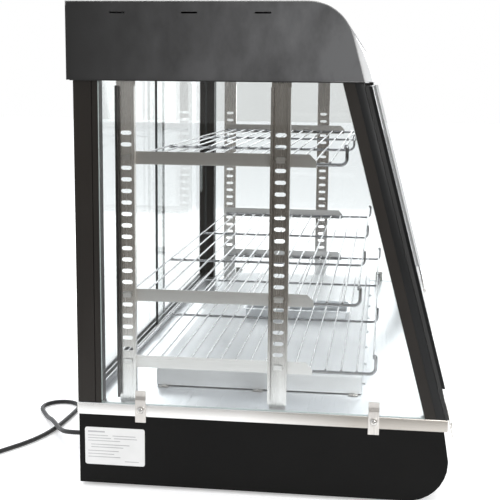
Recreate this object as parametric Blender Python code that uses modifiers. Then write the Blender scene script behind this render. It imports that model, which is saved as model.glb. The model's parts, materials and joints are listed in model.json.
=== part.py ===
"""Heated countertop bakery display case with a sloped front, wire shelves and sliding rear doors.

Metres, +Z up, origin on the table under the middle of the case. The front faces -Y, the width runs
along X. Side views are drawn with depth(r), where r is the distance forward of the rearmost plane.
"""

import math

import bmesh
import bpy
from mathutils import Matrix, Vector

# Driving dimensions
GAP = 0.0003
SHEET = 0.0012
HEIGHT = 0.610
REAR_Y = 0.238
SIDE_X = 0.4477
FOOT_HEIGHT = 0.005
FOOT_RADIUS = 0.015

# Base
BASE_X = 0.446
BASE_REAR = 0.0087
BASE_TOP = 0.0961
NOSE_RADIUS = 0.050
NOSE_R = 0.424
NOSE_TOP = 0.0585
FASCIA_TOP_R = 0.4677

# Deck with its steel rim
RIM_X = 0.447
RIM_REAR = 0.0066
RIM_FRONT = 0.472
RIM_BOTTOM = 0.0964
DECK_TOP = 0.1115

# Heater on the deck
HEATER_X = 0.360
HEATER_REAR = 0.0905
HEATER_FRONT = 0.3646
HEATER_HEIGHT = 0.024
ELEMENT_RADIUS = 0.004
PAN_X = 0.040
PAN_REAR = 0.168
PAN_FRONT = 0.333
PAN_HEIGHT = 0.015

# Top box
TOP_BOTTOM = 0.5164
TOP_ARC_R = 0.2917
TOP_ARC_Z = 0.5534
TOP_ARC_RADIUS = 0.0566
FRONT_LEAN = 0.272
TOP_FRONT_R = 0.3605
HEADER_BOTTOM_R = 0.3693
HEADER_TOP_R = 0.3468
HEADER_TOP_Z = 0.5700
HEADER_BULGE = 0.0022
HEADER_SHEET = 0.003
HEADER_RETURN = 0.013
VENT_Z = 0.596
VENT_REARS = (0.0533, 0.1412, 0.2291)
VENT_LENGTH = 0.020
VENT_HEIGHT = 0.002

# Corner posts, sloped front bars and glass
POST_REAR = 0.0078
POST_FRONT = 0.038
FRAME_DEPTH = 0.022
FRAME_TOP = 0.5161
BAR_REAR_R = 0.3352
BAR_FRONT_R = 0.3600
BAR_Z = 0.512
GLASS = 0.003
SIDE_GLASS_X = 0.4458
SIDE_GLASS_TOP = 0.528
FRONT_GLASS_TOP = 0.5125
STRIP_WIDTH = 0.026
STRIP_BOTTOM = 0.1504
STRIP_FRONT_R = 0.3686

# Shelf uprights and their slots
UPRIGHT_X = 0.4332
UPRIGHT_WIDTH = 0.0240
UPRIGHT_DEPTH = 0.0089
UPRIGHT_LIP = 0.0032
UPRIGHT_RS = {"rear": 0.070, "front": 0.261}
UPRIGHT_FOOT_Z = 0.1186
CHANNEL_TOP = 0.510
SLOT_PITCH = 0.01435
SLOT_TOP_Z = 0.4530
SLOT_COUNT = 21
SLOT_LENGTH = 0.0140
SLOT_HEIGHT = 0.0050

# Rails and shelves: slot taken by the rail's hooks, and how far forward the shelf reaches
LEVELS = {"top": (2, 0.3426), "middle": (14, 0.3629), "bottom": (20, 0.3844)}
RAIL_HEIGHT = 0.0148
RAIL_DROP = 0.0086
RAIL_REAR = 0.060
RAIL_FRONT = 0.304
RAIL_CHAMFER = 0.008
RAIL_FLANGE = 0.012
SHELF_REAR = 0.0628
WIRE_X = 0.4270
LONG_WIRE = 0.0020
CROSS_WIRE = 0.00125
CROSS_PITCH = 0.0195
LIP_HEIGHT = 0.0246
LIP_RADIUS = 0.008

# Sliding doors: glass, the two planes and their tracks
DOOR_GLASS = 0.004
DOOR_PLANES = {"left": 0.0135, "right": 0.0215}
DOOR_OVERLAP = 0.046
DOOR_BOTTOM = 0.1143
DOOR_TOP = 0.5240
TRACK_REAR = 0.0085
TRACK_FRONT = 0.0265
TRACK_RIB = 0.0022
TRACK_BASE = 0.0022
TRACK_BOTTOM_HEIGHT = 0.0102
TRACK_TOP_HEIGHT = 0.0125
TRACK_TOP_Z = 0.5291
PULL_LENGTH = 0.070
PULL_WIDTH = 0.022
PULL_DEPTH = 0.0015

# Controls on the rear base panel
CONTROL_Z = 0.054
KNOB_X = 0.250
KNOB_RADIUS = 0.019
KNOB_REACH = 0.004
SWITCH_XS = {"power_switch": 0.190, "light_switch": 0.155}
SWITCH_TILT = 8.0
METER_X = 0.320

# Power cord: a 6.6 mm lead, its exit, its route on the table and its coil
CORD_RADIUS = 0.0033
EXIT_X = -0.312
EXIT_Z = 0.022
RELIEF_TIP = -0.022
CORD_LIE = 0.0036
CORD_ROUTE = (
    (-0.3120, -0.0223, 0.0220),
    (-0.3118, -0.0363, 0.0218),
    (-0.3077, -0.0495, 0.0204),
    (-0.2976, -0.0603, 0.0177),
    (-0.2855, -0.0673, 0.0151),
    (-0.2734, -0.0743, 0.0129),
    (-0.2613, -0.0813, 0.0119),
    (-0.2483, -0.0888, 0.0115),
    (-0.2362, -0.0958, 0.0107),
    (-0.2241, -0.1028, 0.0092),
    (-0.2119, -0.1098, 0.0063),
    (-0.1989, -0.1173, 0.0038),
    (-0.1868, -0.1243, CORD_LIE),
    (-0.1747, -0.1313, CORD_LIE),
    (-0.1625, -0.1383, CORD_LIE),
    (-0.1490, -0.1413, CORD_LIE),
    (-0.1347, -0.1373, CORD_LIE),
    (-0.1247, -0.1276, CORD_LIE),
    (-0.1202, -0.1145, CORD_LIE),
    (-0.1222, -0.1007, CORD_LIE),
    (-0.1310, -0.0888, CORD_LIE),
    (-0.1436, -0.0829, CORD_LIE),
    (-0.1576, -0.0826, CORD_LIE),
    (-0.1716, -0.0831, CORD_LIE),
    (-0.1865, -0.0839, CORD_LIE),
    (-0.2005, -0.0846, CORD_LIE),
    (-0.2145, -0.0855, CORD_LIE),
    (-0.2285, -0.0865, CORD_LIE),
    (-0.2424, -0.0880, CORD_LIE),
    (-0.2572, -0.0905, CORD_LIE),
    (-0.2708, -0.0937, CORD_LIE),
    (-0.2842, -0.0976, CORD_LIE),
    (-0.2974, -0.1024, CORD_LIE),
    (-0.3111, -0.1085, CORD_LIE),
    (-0.3234, -0.1151, CORD_LIE),
    (-0.3354, -0.1224, CORD_LIE),
    (-0.3472, -0.1299, CORD_LIE),
    (-0.3600, -0.1378, CORD_LIE),
    (-0.3718, -0.1452, CORD_LIE),
    (-0.3837, -0.1526, CORD_LIE),
)
CORD_STEPS = 1
TAIL_STEPS = 3
COIL_CENTRE = (-0.3573, -0.1950)
COIL_INNER = 0.0256
COIL_OUTER = 0.0460
COIL_HEIGHT = 0.0138
TAIL_ROUTE = (
    (-0.3616, -0.2448, 0.0080),
    (-0.3470, -0.2462, 0.0095),
    (-0.3310, -0.2466, 0.0130),
    (-0.3150, -0.2466, 0.0163),
    (-0.3010, -0.2466, 0.0175),
)
PLUG_X = -0.3007
PLUG_R = -0.2466
PLUG_Z = 0.0175

DEGREE = math.pi / 180
AXIS_FRAMES = {
    "X": Matrix(((0, 0, 1), (1, 0, 0), (0, 1, 0))),
    "Y": Matrix(((1, 0, 0), (0, 0, -1), (0, 1, 0))),
    "Z": Matrix.Identity(3),
}


def clear_scene():
    for obj in list(bpy.data.objects):
        bpy.data.objects.remove(obj, do_unlink=True)


def new_collection(name):
    collection = bpy.data.collections.new(name)
    bpy.context.scene.collection.children.link(collection)
    return collection


def new_material(name, colour, roughness, metallic=0.0, alpha=1.0):
    material = bpy.data.materials.new(name)
    material.use_nodes = True
    shader = material.node_tree.nodes["Principled BSDF"]
    shader.inputs["Base Color"].default_value = (*colour, 1.0)
    shader.inputs["Roughness"].default_value = roughness
    shader.inputs["Metallic"].default_value = metallic
    shader.inputs["Alpha"].default_value = alpha
    material.diffuse_color = (*colour, alpha)
    return material


def depth(r):
    """World Y of a point r forward of the rearmost plane."""
    return REAR_Y - r


def side_view(points):
    """(r, z) points as the (y, z) points of a section swept along X."""
    return [(depth(r), z) for r, z in points]


def arc(centre, radius, start, end, steps):
    """Points of a round stretch about centre, from angle start to angle end in degrees."""
    angles = [(start + (end - start) * i / steps) * DEGREE for i in range(steps + 1)]
    return [(centre[0] + radius * math.cos(a), centre[1] + radius * math.sin(a)) for a in angles]


def slot_loop(centre, length, height, steps=3):
    """Outline of a slot with round ends."""
    reach = (length - height) / 2
    right = arc((centre[0] + reach, centre[1]), height / 2, -90, 90, steps)
    left = arc((centre[0] - reach, centre[1]), height / 2, 90, 270, steps)
    return right + left


def rectangle(low, high):
    return [low, (high[0], low[1]), high, (low[0], high[1])]


def leaning(r_at_bar_z, z):
    """r at height z of a line that leans like the front glass and passes r_at_bar_z at BAR_Z."""
    return r_at_bar_z + FRONT_LEAN * (BAR_Z - z)


def place(obj, collection, material):
    collection.objects.link(obj)
    if material:
        obj.data.materials.append(material)
    return obj


def tidy_mesh(mesh):
    """Weld the loose caps that a curve leaves, and turn every face outward."""
    shape = bmesh.new()
    shape.from_mesh(mesh)
    bmesh.ops.remove_doubles(shape, verts=shape.verts, dist=1e-6)
    bmesh.ops.recalc_face_normals(shape, faces=shape.faces)
    shape.to_mesh(mesh)
    shape.free()


def curve_to_mesh(curve_object, collection, material):
    """Replace a curve object with a closed mesh object of the same name and place."""
    bpy.context.scene.collection.objects.link(curve_object)
    bpy.context.view_layer.update()
    graph = bpy.context.evaluated_depsgraph_get()
    mesh = bpy.data.meshes.new_from_object(curve_object.evaluated_get(graph))
    tidy_mesh(mesh)
    name, matrix, curve = curve_object.name, curve_object.matrix_world.copy(), curve_object.data
    bpy.data.objects.remove(curve_object)
    bpy.data.curves.remove(curve)
    mesh.name = name
    obj = bpy.data.objects.new(name, mesh)
    obj.matrix_world = matrix
    return place(obj, collection, material)


def prism(name, loops, axis, low, high, collection, material):
    """Solid of constant section along an axis: an outline, then the loops of its holes.

    The loops hold (y, z) points for axis X, (x, z) for Y and (x, y) for Z.
    """
    curve = bpy.data.curves.new(name, "CURVE")
    curve.dimensions = "2D"
    curve.fill_mode = "BOTH"
    curve.extrude = (high - low) / 2
    for loop in loops:
        spline = curve.splines.new("POLY")
        spline.points.add(len(loop) - 1)
        for point, (a, b) in zip(spline.points, loop):
            point.co = (a, b, 0, 1)
        spline.use_cyclic_u = True
    obj = bpy.data.objects.new(name, curve)
    along = Vector([(low + high) / 2 if letter == axis else 0 for letter in "XYZ"])
    obj.matrix_world = Matrix.Translation(along) @ AXIS_FRAMES[axis].to_4x4()
    return curve_to_mesh(obj, collection, material)


def tube(name, routes, radius, collection, material, sides=8):
    """Round wires along open routes, as one object."""
    curve = bpy.data.curves.new(name, "CURVE")
    curve.dimensions = "3D"
    curve.bevel_depth = radius
    curve.bevel_resolution = (sides - 4) // 2
    curve.use_fill_caps = True
    for route in routes:
        spline = curve.splines.new("POLY")
        spline.points.add(len(route) - 1)
        for point, place_at in zip(spline.points, route):
            point.co = (*place_at, 1)
    return curve_to_mesh(bpy.data.objects.new(name, curve), collection, material)


def box(name, low, high, collection, material):
    """A block between two corners, its origin at its middle."""
    mesh = bpy.data.meshes.new(name)
    shape = bmesh.new()
    bmesh.ops.create_cube(shape, size=1)
    size = [b - a for a, b in zip(low, high)]
    bmesh.ops.scale(shape, vec=size, verts=shape.verts)
    shape.to_mesh(mesh)
    shape.free()
    obj = bpy.data.objects.new(name, mesh)
    obj.location = [(a + b) / 2 for a, b in zip(low, high)]
    return place(obj, collection, material)


def depth_box(name, xs, rs, zs, collection, material):
    """A block given by its x, r and z spans."""
    low = (xs[0], depth(rs[1]), zs[0])
    high = (xs[1], depth(rs[0]), zs[1])
    return box(name, low, high, collection, material)


def turned(name, profile, origin, axis, collection, material, steps=24):
    """A turned shape: (radius, height) points from the top down, turned about axis from origin."""
    mesh = bpy.data.meshes.new(name)
    points = [(radius, 0, height) for radius, height in profile]
    edges = [(i, i + 1) for i in range(len(points) - 1)]
    mesh.from_pydata(points, edges, [])
    obj = bpy.data.objects.new(name, mesh)
    turn = Vector((0, 0, 1)).rotation_difference(Vector(axis)).to_matrix().to_4x4()
    obj.matrix_world = Matrix.Translation(Vector(origin)) @ turn
    screw = obj.modifiers.new("Turn", "SCREW")
    screw.steps = steps
    screw.render_steps = steps
    screw.use_merge_vertices = True
    screw.merge_threshold = 1e-6
    return place(obj, collection, material)


def cylinder(name, radius, origin, axis, length, collection, material, steps=24):
    profile = [(0, length), (radius, length), (radius, 0), (0, 0)]
    return turned(name, profile, origin, axis, collection, material, steps)


def boolean(obj, other, operation):
    modifier = obj.modifiers.new(operation.title(), "BOOLEAN")
    modifier.operation = operation
    modifier.object = other
    other.hide_render = True
    other.display_type = "WIRE"


def smooth(obj, angle=40):
    obj.data.shade_smooth()
    obj.data.set_sharp_from_angle(angle=angle * DEGREE)


def rounded(obj, width, segments=2):
    bevel = obj.modifiers.new("Bevel", "BEVEL")
    bevel.width = width
    bevel.segments = segments
    bevel.limit_method = "ANGLE"


def spread(low, high, count):
    return [low + (high - low) * i / (count - 1) for i in range(count)]


def smooth_route(points, steps):
    """Points on a smooth curve that the given ones guide, from the first of them to the last."""
    ends = [2 * Vector(points[0]) - Vector(points[1])]
    ends += [Vector(p) for p in points]
    ends.append(2 * Vector(points[-1]) - Vector(points[-2]))
    line = []
    for a, b, c, d in zip(ends, ends[1:], ends[2:], ends[3:]):
        for i in range(steps):
            t = i / steps
            near = (1 - t) ** 3 * a + (3 * t**3 - 6 * t**2 + 4) * b
            line.append((near + (1 + 3 * t + 3 * t**2 - 3 * t**3) * c + t**3 * d) / 6)
    return line + [ends[-2]]


clear_scene()
CASE = new_collection("bakery_display_case")
CUTTERS = new_collection("cutters")
BLACK = new_material("black_enamel", (0.022, 0.021, 0.020), 0.38)
STEEL = new_material("brushed_steel", (0.60, 0.58, 0.55), 0.30, 1.0)
CHROME = new_material("chromed_wire", (0.75, 0.75, 0.76), 0.10, 1.0)
CLEAR = new_material("clear_glass", (0.90, 0.96, 0.94), 0.03, 0.0, 0.2)
OPAL = new_material("opal_acrylic", (0.90, 0.90, 0.88), 0.25)
RUBBER = new_material("black_rubber", (0.020, 0.020, 0.020), 0.65)
PLASTIC = new_material("black_plastic", (0.018, 0.018, 0.018), 0.40)
ALUMINIUM = new_material("anodised_track", (0.30, 0.30, 0.30), 0.35, 1.0)
LAMP_GLASS = new_material("lamp_tube", (0.92, 0.92, 0.90), 0.30)
SIDES = {"left": -1, "right": 1}


def mirrored_span(side, near, far):
    """The x span between two distances from the middle, on the left (-1) or the right (1)."""
    return tuple(sorted((side * near, side * far)))


def make_feet():
    spots = {"front": 0.415, "rear": 0.050}
    for end, r in spots.items():
        for hand, side in SIDES.items():
            foot = cylinder(
                f"foot_{end}_{hand}", FOOT_RADIUS, (side * 0.400, depth(r), 0), (0, 0, 1),
                FOOT_HEIGHT - GAP, CASE, RUBBER,
            )
            smooth(foot)


def nose(radius):
    """The round lower front of the base, from the bottom up to the height of its widest point."""
    return arc((NOSE_R, FOOT_HEIGHT + NOSE_RADIUS), radius, -90, 0, 8)


def base_outline(inset=0.0):
    radius = NOSE_RADIUS - inset
    return nose(radius) + [(NOSE_R + radius, NOSE_TOP), (FASCIA_TOP_R - inset, BASE_TOP)]


def make_base():
    outline = [(BASE_REAR, FOOT_HEIGHT)] + base_outline() + [(BASE_REAR, BASE_TOP)]
    inner_x = BASE_X - SHEET - GAP
    for hand, side in SIDES.items():
        low, high = mirrored_span(side, BASE_X - SHEET, BASE_X)
        prism(f"base_side_{hand}", [side_view(outline)], "X", low, high, CASE, BLACK)
    shell = base_outline() + base_outline(SHEET)[::-1]
    prism("base_front_fascia", [side_view(shell)], "X", -inner_x, inner_x, CASE, BLACK)
    vents = [
        slot_loop((x, depth(r)), 0.045, 0.006)
        for x in spread(-0.30, 0.30, 5)
        for r in (0.12, 0.24, 0.36)
    ]
    floor = rectangle((-inner_x, depth(NOSE_R - GAP)), (inner_x, depth(BASE_REAR + SHEET + GAP)))
    prism("base_bottom_plate", [floor] + vents, "Z", FOOT_HEIGHT, FOOT_HEIGHT + SHEET, CASE, BLACK)


def make_rear_panel():
    inner_x = BASE_X - SHEET - GAP
    holes = [arc((EXIT_X, EXIT_Z), 0.0068, 0, 330, 11), arc((KNOB_X, CONTROL_Z), 0.0042, 0, 330, 11)]
    for x in SWITCH_XS.values():
        holes.append(rectangle((x - 0.0075, CONTROL_Z - 0.0112), (x + 0.0075, CONTROL_Z + 0.0112)))
    louvres = [slot_loop((x, z), 0.040, 0.004) for x in spread(-0.24, 0.04, 5) for z in (0.045, 0.060)]
    sheet = rectangle((-inner_x, FOOT_HEIGHT), (inner_x, BASE_TOP))
    low = depth(BASE_REAR + SHEET)
    prism("base_rear_panel", [sheet] + holes + louvres, "Y", low, depth(BASE_REAR), CASE, BLACK)


def make_deck():
    deck = depth_box(
        "deck_tray", (-RIM_X, RIM_X), (RIM_REAR, RIM_FRONT), (RIM_BOTTOM, DECK_TOP), CASE, STEEL
    )
    hollow = depth_box(
        "deck_hollow", (SHEET - RIM_X, RIM_X - SHEET), (RIM_REAR + SHEET, RIM_FRONT - SHEET),
        (RIM_BOTTOM - 0.01, DECK_TOP - SHEET), CUTTERS, None,
    )
    boolean(deck, hollow, "DIFFERENCE")


def open_box(name, xs, rs, zs, wall, opens_up, material):
    """A pan, open upward or downward."""
    pan = depth_box(name, xs, rs, zs, CASE, material)
    heights = (zs[0] + wall, zs[1] + 0.01) if opens_up else (zs[0] - 0.01, zs[1] - wall)
    inside = depth_box(
        f"{name}_inside", (xs[0] + wall, xs[1] - wall), (rs[0] + wall, rs[1] - wall), heights,
        CUTTERS, None,
    )
    boolean(pan, inside, "DIFFERENCE")
    return pan


def make_heater():
    bottom = DECK_TOP + GAP
    top = bottom + HEATER_HEIGHT
    open_box(
        "heater_cover", (-HEATER_X, HEATER_X), (HEATER_REAR, HEATER_FRONT), (bottom, top), 0.001,
        False, STEEL,
    )
    pan_bottom = top + GAP
    open_box(
        "water_pan", (-PAN_X, PAN_X), (PAN_REAR, PAN_FRONT), (pan_bottom, pan_bottom + PAN_HEIGHT),
        0.001, True, STEEL,
    )
    middle_z = bottom + HEATER_HEIGHT / 2
    far, near, turn = 0.300, 0.140, 0.060
    route = [(-far, depth(near + turn), middle_z)]
    route += [(far - turn, depth(near + turn), middle_z)]
    bend = arc((far - turn, depth(near + 1.5 * turn)), turn / 2, 90, -90, 8)
    route += [(x, y, middle_z) for x, y in bend[1:]]
    route += [(-far, depth(near + 2 * turn), middle_z)]
    element = tube("heating_element", [route], ELEMENT_RADIUS, CASE, STEEL)
    smooth(element)


def make_frame():
    for hand, side in SIDES.items():
        low, high = mirrored_span(side, BASE_X - FRAME_DEPTH, BASE_X)
        outer = side * BASE_X
        step_x = side * (BASE_X - 0.0015)
        post = [
            (outer, depth(POST_REAR)), (outer, depth(0.0300)), (step_x, depth(0.0300)),
            (step_x, depth(0.0312)), (outer, depth(0.0312)), (outer, depth(POST_FRONT)),
            (side * (BASE_X - FRAME_DEPTH), depth(POST_FRONT)),
            (side * (BASE_X - FRAME_DEPTH), depth(POST_REAR)),
        ]
        prism(f"rear_post_{hand}", [post], "Z", DECK_TOP + GAP, FRAME_TOP, CASE, BLACK)
        ends = (DECK_TOP + GAP, FRAME_TOP)
        rear = [(leaning(BAR_REAR_R, z), z) for z in ends]
        front = [(leaning(BAR_FRONT_R, z), z) for z in reversed(ends)]
        prism(f"front_bar_{hand}", [side_view(rear + front)], "X", low, high, CASE, BLACK)


def make_glass():
    low_z = DECK_TOP + GAP
    for hand, side in SIDES.items():
        edge = POST_FRONT + GAP
        lean = BAR_REAR_R - GAP
        pane = [
            (edge, low_z), (leaning(lean, low_z), low_z),
            (leaning(lean, SIDE_GLASS_TOP), SIDE_GLASS_TOP), (edge, SIDE_GLASS_TOP),
        ]
        low, high = mirrored_span(side, SIDE_GLASS_X - GLASS, SIDE_GLASS_X)
        prism(f"side_glass_{hand}", [side_view(pane)], "X", low, high, CASE, CLEAR)
    across = GLASS * math.hypot(1, FRONT_LEAN)
    back = BAR_FRONT_R + GAP
    front_pane = leaning_strip(back, back + across, low_z, FRONT_GLASS_TOP)
    prism("front_glass", [side_view(front_pane)], "X", -BASE_X, BASE_X, CASE, CLEAR)
    strip = leaning_strip(back + across + GAP, STRIP_FRONT_R, STRIP_BOTTOM, FRONT_GLASS_TOP)
    for hand, side in SIDES.items():
        low, high = mirrored_span(side, BASE_X - STRIP_WIDTH, BASE_X)
        prism(f"glass_edge_strip_{hand}", [side_view(strip)], "X", low, high, CASE, BLACK)


def leaning_strip(back, front, low_z, high_z):
    rear = [(leaning(back, z), z) for z in (low_z, high_z)]
    face = [(leaning(front, z), z) for z in (high_z, low_z)]
    return rear + face


def make_clips():
    """Bent steel strips, bolted to the deck's rim, that hold the foot of each pane."""
    width = 0.0138
    for place_name, r in {"rear": 0.0891, "front": 0.3819}.items():
        for hand, side in SIDES.items():
            lip = SIDE_GLASS_X + GAP
            leg = RIM_X + GAP
            thick = 0.0011
            path = [(leg, 0.0887), (leg, 0.1186), (lip, 0.1228), (lip, 0.1305)]
            back = [(x + thick, z) for x, z in reversed(path)]
            section = [(side * x, z) for x, z in path + back]
            name = f"side_clip_{place_name}_{hand}"
            low = depth(r + width / 2)
            clip = prism(name, [section], "Y", low, low + width, CASE, STEEL)
            head = cylinder(
                f"{name}_bolt", 0.0055, (side * (leg + 0.0005), depth(r), 0.1046), (side, 0, 0),
                0.0022, CUTTERS, None, 12,
            )
            boolean(clip, head, "UNION")
    thick = 0.0013
    face = BAR_FRONT_R + GAP + GLASS * math.hypot(1, FRONT_LEAN) + GAP
    path = [
        (leaning(face, 0.1275), 0.1275), (leaning(face, 0.1122) + 0.0006, 0.1122),
        (RIM_FRONT + 0.0012, 0.1085), (0.4787, 0.0850),
    ]
    section = path + [(r + thick, z + 0.0002) for r, z in reversed(path)]
    for hand, side in SIDES.items():
        low, high = mirrored_span(side, 0.418, 0.418 + width)
        name = f"front_clip_{hand}"
        clip = prism(name, [side_view(section)], "X", low, high, CASE, STEEL)
        head = cylinder(
            f"{name}_bolt", 0.0050, (side * 0.4249, depth(0.4752), 0.0990), (0, -1, 0.2), 0.0040,
            CUTTERS, None, 12,
        )
        boolean(clip, head, "UNION")


def upright_section(side, middle):
    """A lipped channel, open toward the side glass."""
    web = side * (UPRIGHT_X - SHEET)
    tip = side * (UPRIGHT_X - SHEET + UPRIGHT_DEPTH)
    inside = side * UPRIGHT_X
    under_tip = side * (UPRIGHT_X - 2 * SHEET + UPRIGHT_DEPTH)
    outer, inner = UPRIGHT_WIDTH / 2, UPRIGHT_WIDTH / 2 - SHEET
    lip = UPRIGHT_WIDTH / 2 - UPRIGHT_LIP
    half = [(tip, lip), (tip, outer), (web, outer)]
    half_back = [(web, -outer), (tip, -outer), (tip, -lip), (under_tip, -lip), (under_tip, -inner)]
    rest = [(inside, -inner), (inside, inner), (under_tip, inner), (under_tip, lip)]
    return [(x, middle + y) for x, y in half + half_back + rest]


def slot_z(index):
    return SLOT_TOP_Z - index * SLOT_PITCH


def make_uprights():
    for end, r in UPRIGHT_RS.items():
        slots = [slot_loop((depth(r), slot_z(i)), SLOT_LENGTH, SLOT_HEIGHT) for i in range(SLOT_COUNT)]
        for hand, side in SIDES.items():
            name = f"upright_{end}_{hand}"
            section = upright_section(side, depth(r))
            upright = prism(name, [section], "Z", UPRIGHT_FOOT_Z, FRAME_TOP, CASE, STEEL)
            low, high = mirrored_span(side, UPRIGHT_X - 0.006, UPRIGHT_X + 0.004)
            cutter = prism(f"{name}_slots", slots, "X", low, high, CUTTERS, None)
            boolean(upright, cutter, "DIFFERENCE")
            trim_x = mirrored_span(side, UPRIGHT_X, UPRIGHT_X + 0.02)
            trim = depth_box(
                f"{name}_top_trim", trim_x, (r - 0.02, r + 0.02), (CHANNEL_TOP, 0.53), CUTTERS, None
            )
            boolean(upright, trim, "DIFFERENCE")
            neck_x = mirrored_span(side, UPRIGHT_X - SHEET - 0.002, UPRIGHT_X - 0.0004)
            neck = depth_box(
                f"{name}_neck", neck_x, (r - 0.0105, r + 0.0105), (DECK_TOP + GAP, UPRIGHT_FOOT_Z + 0.01),
                CUTTERS, None,
            )
            boolean(upright, neck, "UNION")
            foot_x = mirrored_span(side, UPRIGHT_X - 0.018, UPRIGHT_X - 0.0006)
            foot = depth_box(
                f"{name}_foot", foot_x, (r - 0.0100, r + 0.0100), (DECK_TOP + GAP, DECK_TOP + 0.0015),
                CUTTERS, None,
            )
            boolean(upright, foot, "UNION")


def make_rails():
    for level, (slot, _) in LEVELS.items():
        bottom = slot_z(slot) - RAIL_DROP
        top = bottom + RAIL_HEIGHT
        outline = [
            (RAIL_REAR, bottom), (RAIL_FRONT, bottom), (RAIL_FRONT, top - RAIL_CHAMFER),
            (RAIL_FRONT - RAIL_CHAMFER, top), (RAIL_REAR, top),
        ]
        for hand, side in SIDES.items():
            name = f"rail_{level}_{hand}"
            outer = UPRIGHT_X - SHEET - GAP
            low, high = mirrored_span(side, outer - SHEET, outer)
            rail = prism(name, [side_view(outline)], "X", low, high, CASE, STEEL)
            flange_x = mirrored_span(side, outer - RAIL_FLANGE, outer - SHEET / 2)
            flange = depth_box(
                f"{name}_flange", flange_x, (RAIL_REAR, RAIL_FRONT), (bottom - SHEET, bottom + SHEET / 4),
                CUTTERS, None,
            )
            boolean(rail, flange, "UNION")
            for end, r in UPRIGHT_RS.items():
                hook = hook_of_rail(f"{name}_hook_{end}", side, outer, r, slot_z(slot))
                boolean(rail, hook, "UNION")


def hook_of_rail(name, side, outer, r, z):
    """A tongue through the upright's slot, turned down behind its web."""
    beyond = UPRIGHT_X + GAP
    section = [
        (outer - SHEET / 2, z - 0.0018), (beyond, z - 0.0018), (beyond, z - 0.0050),
        (beyond + SHEET, z - 0.0050), (beyond + SHEET, z + 0.0016), (outer - SHEET / 2, z + 0.0016),
    ]
    low = depth(r + 0.0055)
    return prism(name, [[(side * a, b) for a, b in section]], "Y", low, low + 0.011, CUTTERS, None)


def make_shelves():
    for level, (slot, front) in LEVELS.items():
        z = slot_z(slot) - RAIL_DROP + GAP + LONG_WIRE
        longs = []
        for x in spread(-WIRE_X, WIRE_X, 4):
            turn = arc((front - LIP_RADIUS - LONG_WIRE, z + LIP_RADIUS), LIP_RADIUS, -90, 0, 4)
            route = [(SHELF_REAR, z)] + turn + [(front - LONG_WIRE, z + LIP_HEIGHT - LONG_WIRE)]
            longs.append([(x, depth(r), height) for r, height in route])
        shelf = tube(f"shelf_{level}", longs, LONG_WIRE, CASE, CHROME, 6)
        cross_z = z + LONG_WIRE + CROSS_WIRE - 0.0007
        rear = SHELF_REAR + 0.004
        count = int((front - 2 * LIP_RADIUS - rear) / CROSS_PITCH) + 1
        rs = [rear + i * CROSS_PITCH for i in range(count)]
        end = WIRE_X + 0.0015
        crosses = [[(-end, depth(r), cross_z), (end, depth(r), cross_z)] for r in rs]
        lip_r = front - 2 * LONG_WIRE - CROSS_WIRE + 0.0007
        lip_z = z + LIP_HEIGHT - 2 * LONG_WIRE
        crosses.append([(-end, depth(lip_r), lip_z), (end, depth(lip_r), lip_z)])
        wires = tube(f"shelf_{level}_cross_wires", crosses, CROSS_WIRE, CUTTERS, None, 4)
        boolean(shelf, wires, "UNION")


def top_profile(inset, end_z):
    """The top box from its lower rear corner over the top to where its round front ends."""
    radius = TOP_ARC_RADIUS - inset
    centre = (TOP_ARC_R, TOP_ARC_Z)
    end = math.degrees(math.asin((end_z - TOP_ARC_Z) / TOP_ARC_RADIUS))
    return [(inset, TOP_BOTTOM + GAP), (inset, HEIGHT - inset)] + arc(centre, radius, 90, end, 8)


def make_top():
    lean_angle = math.degrees(math.atan(FRONT_LEAN))
    bend = arc((TOP_ARC_R, TOP_ARC_Z), TOP_ARC_RADIUS, 90, lean_angle, 10)
    outline = [(0, TOP_BOTTOM), (0, HEIGHT)] + bend + [(TOP_FRONT_R, TOP_BOTTOM)]
    vents = [
        side_view(slot_loop((r + VENT_LENGTH / 2, VENT_Z), VENT_LENGTH, VENT_HEIGHT)) for r in VENT_REARS
    ]
    for hand, side in SIDES.items():
        low, high = mirrored_span(side, SIDE_X - 0.0014, SIDE_X)
        prism(f"top_side_{hand}", [side_view(outline)] + vents, "X", low, high, CASE, BLACK)
    inner_x = SIDE_X - 0.0014 - GAP
    over = top_profile(0.0, HEADER_TOP_Z + 0.001)
    under = top_profile(SHEET, HEADER_TOP_Z + 0.001)
    prism("top_cover", [side_view(over + under[::-1])], "X", -inner_x, inner_x, CASE, BLACK)
    header = header_line(0.0) + header_line(-HEADER_SHEET)[::-1]
    panel = prism("header_panel", [side_view(header)], "X", -inner_x, inner_x, CASE, OPAL)
    returned = header_line(-HEADER_SHEET / 2) + header_line(-HEADER_RETURN)[::-1]
    for hand, side in SIDES.items():
        low, high = mirrored_span(side, inner_x - HEADER_SHEET, inner_x)
        end = prism(f"header_return_{hand}", [side_view(returned)], "X", low, high, CUTTERS, None)
        boolean(panel, end, "UNION")
    ceiling_x = 0.4415
    depth_box(
        "ceiling_plate", (-ceiling_x, ceiling_x), (TRACK_FRONT + GAP, 0.352),
        (FRAME_TOP + GAP, FRAME_TOP + GAP + SHEET), CASE, STEEL,
    )
    lamp = cylinder("header_lamp", 0.008, (-0.380, depth(0.330), 0.545), (1, 0, 0), 0.760, CASE, LAMP_GLASS, 16)
    smooth(lamp)


def header_line(offset):
    """The slightly bulged face of the header, from its top to its lower edge."""
    line = []
    for i in range(7):
        t = i / 6
        bulge = HEADER_BULGE * 4 * t * (1 - t) + offset
        r = HEADER_TOP_R + (HEADER_BOTTOM_R - HEADER_TOP_R) * t + bulge
        line.append((r, HEADER_TOP_Z + (TOP_BOTTOM + 0.0008 - HEADER_TOP_Z) * t))
    return line


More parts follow.
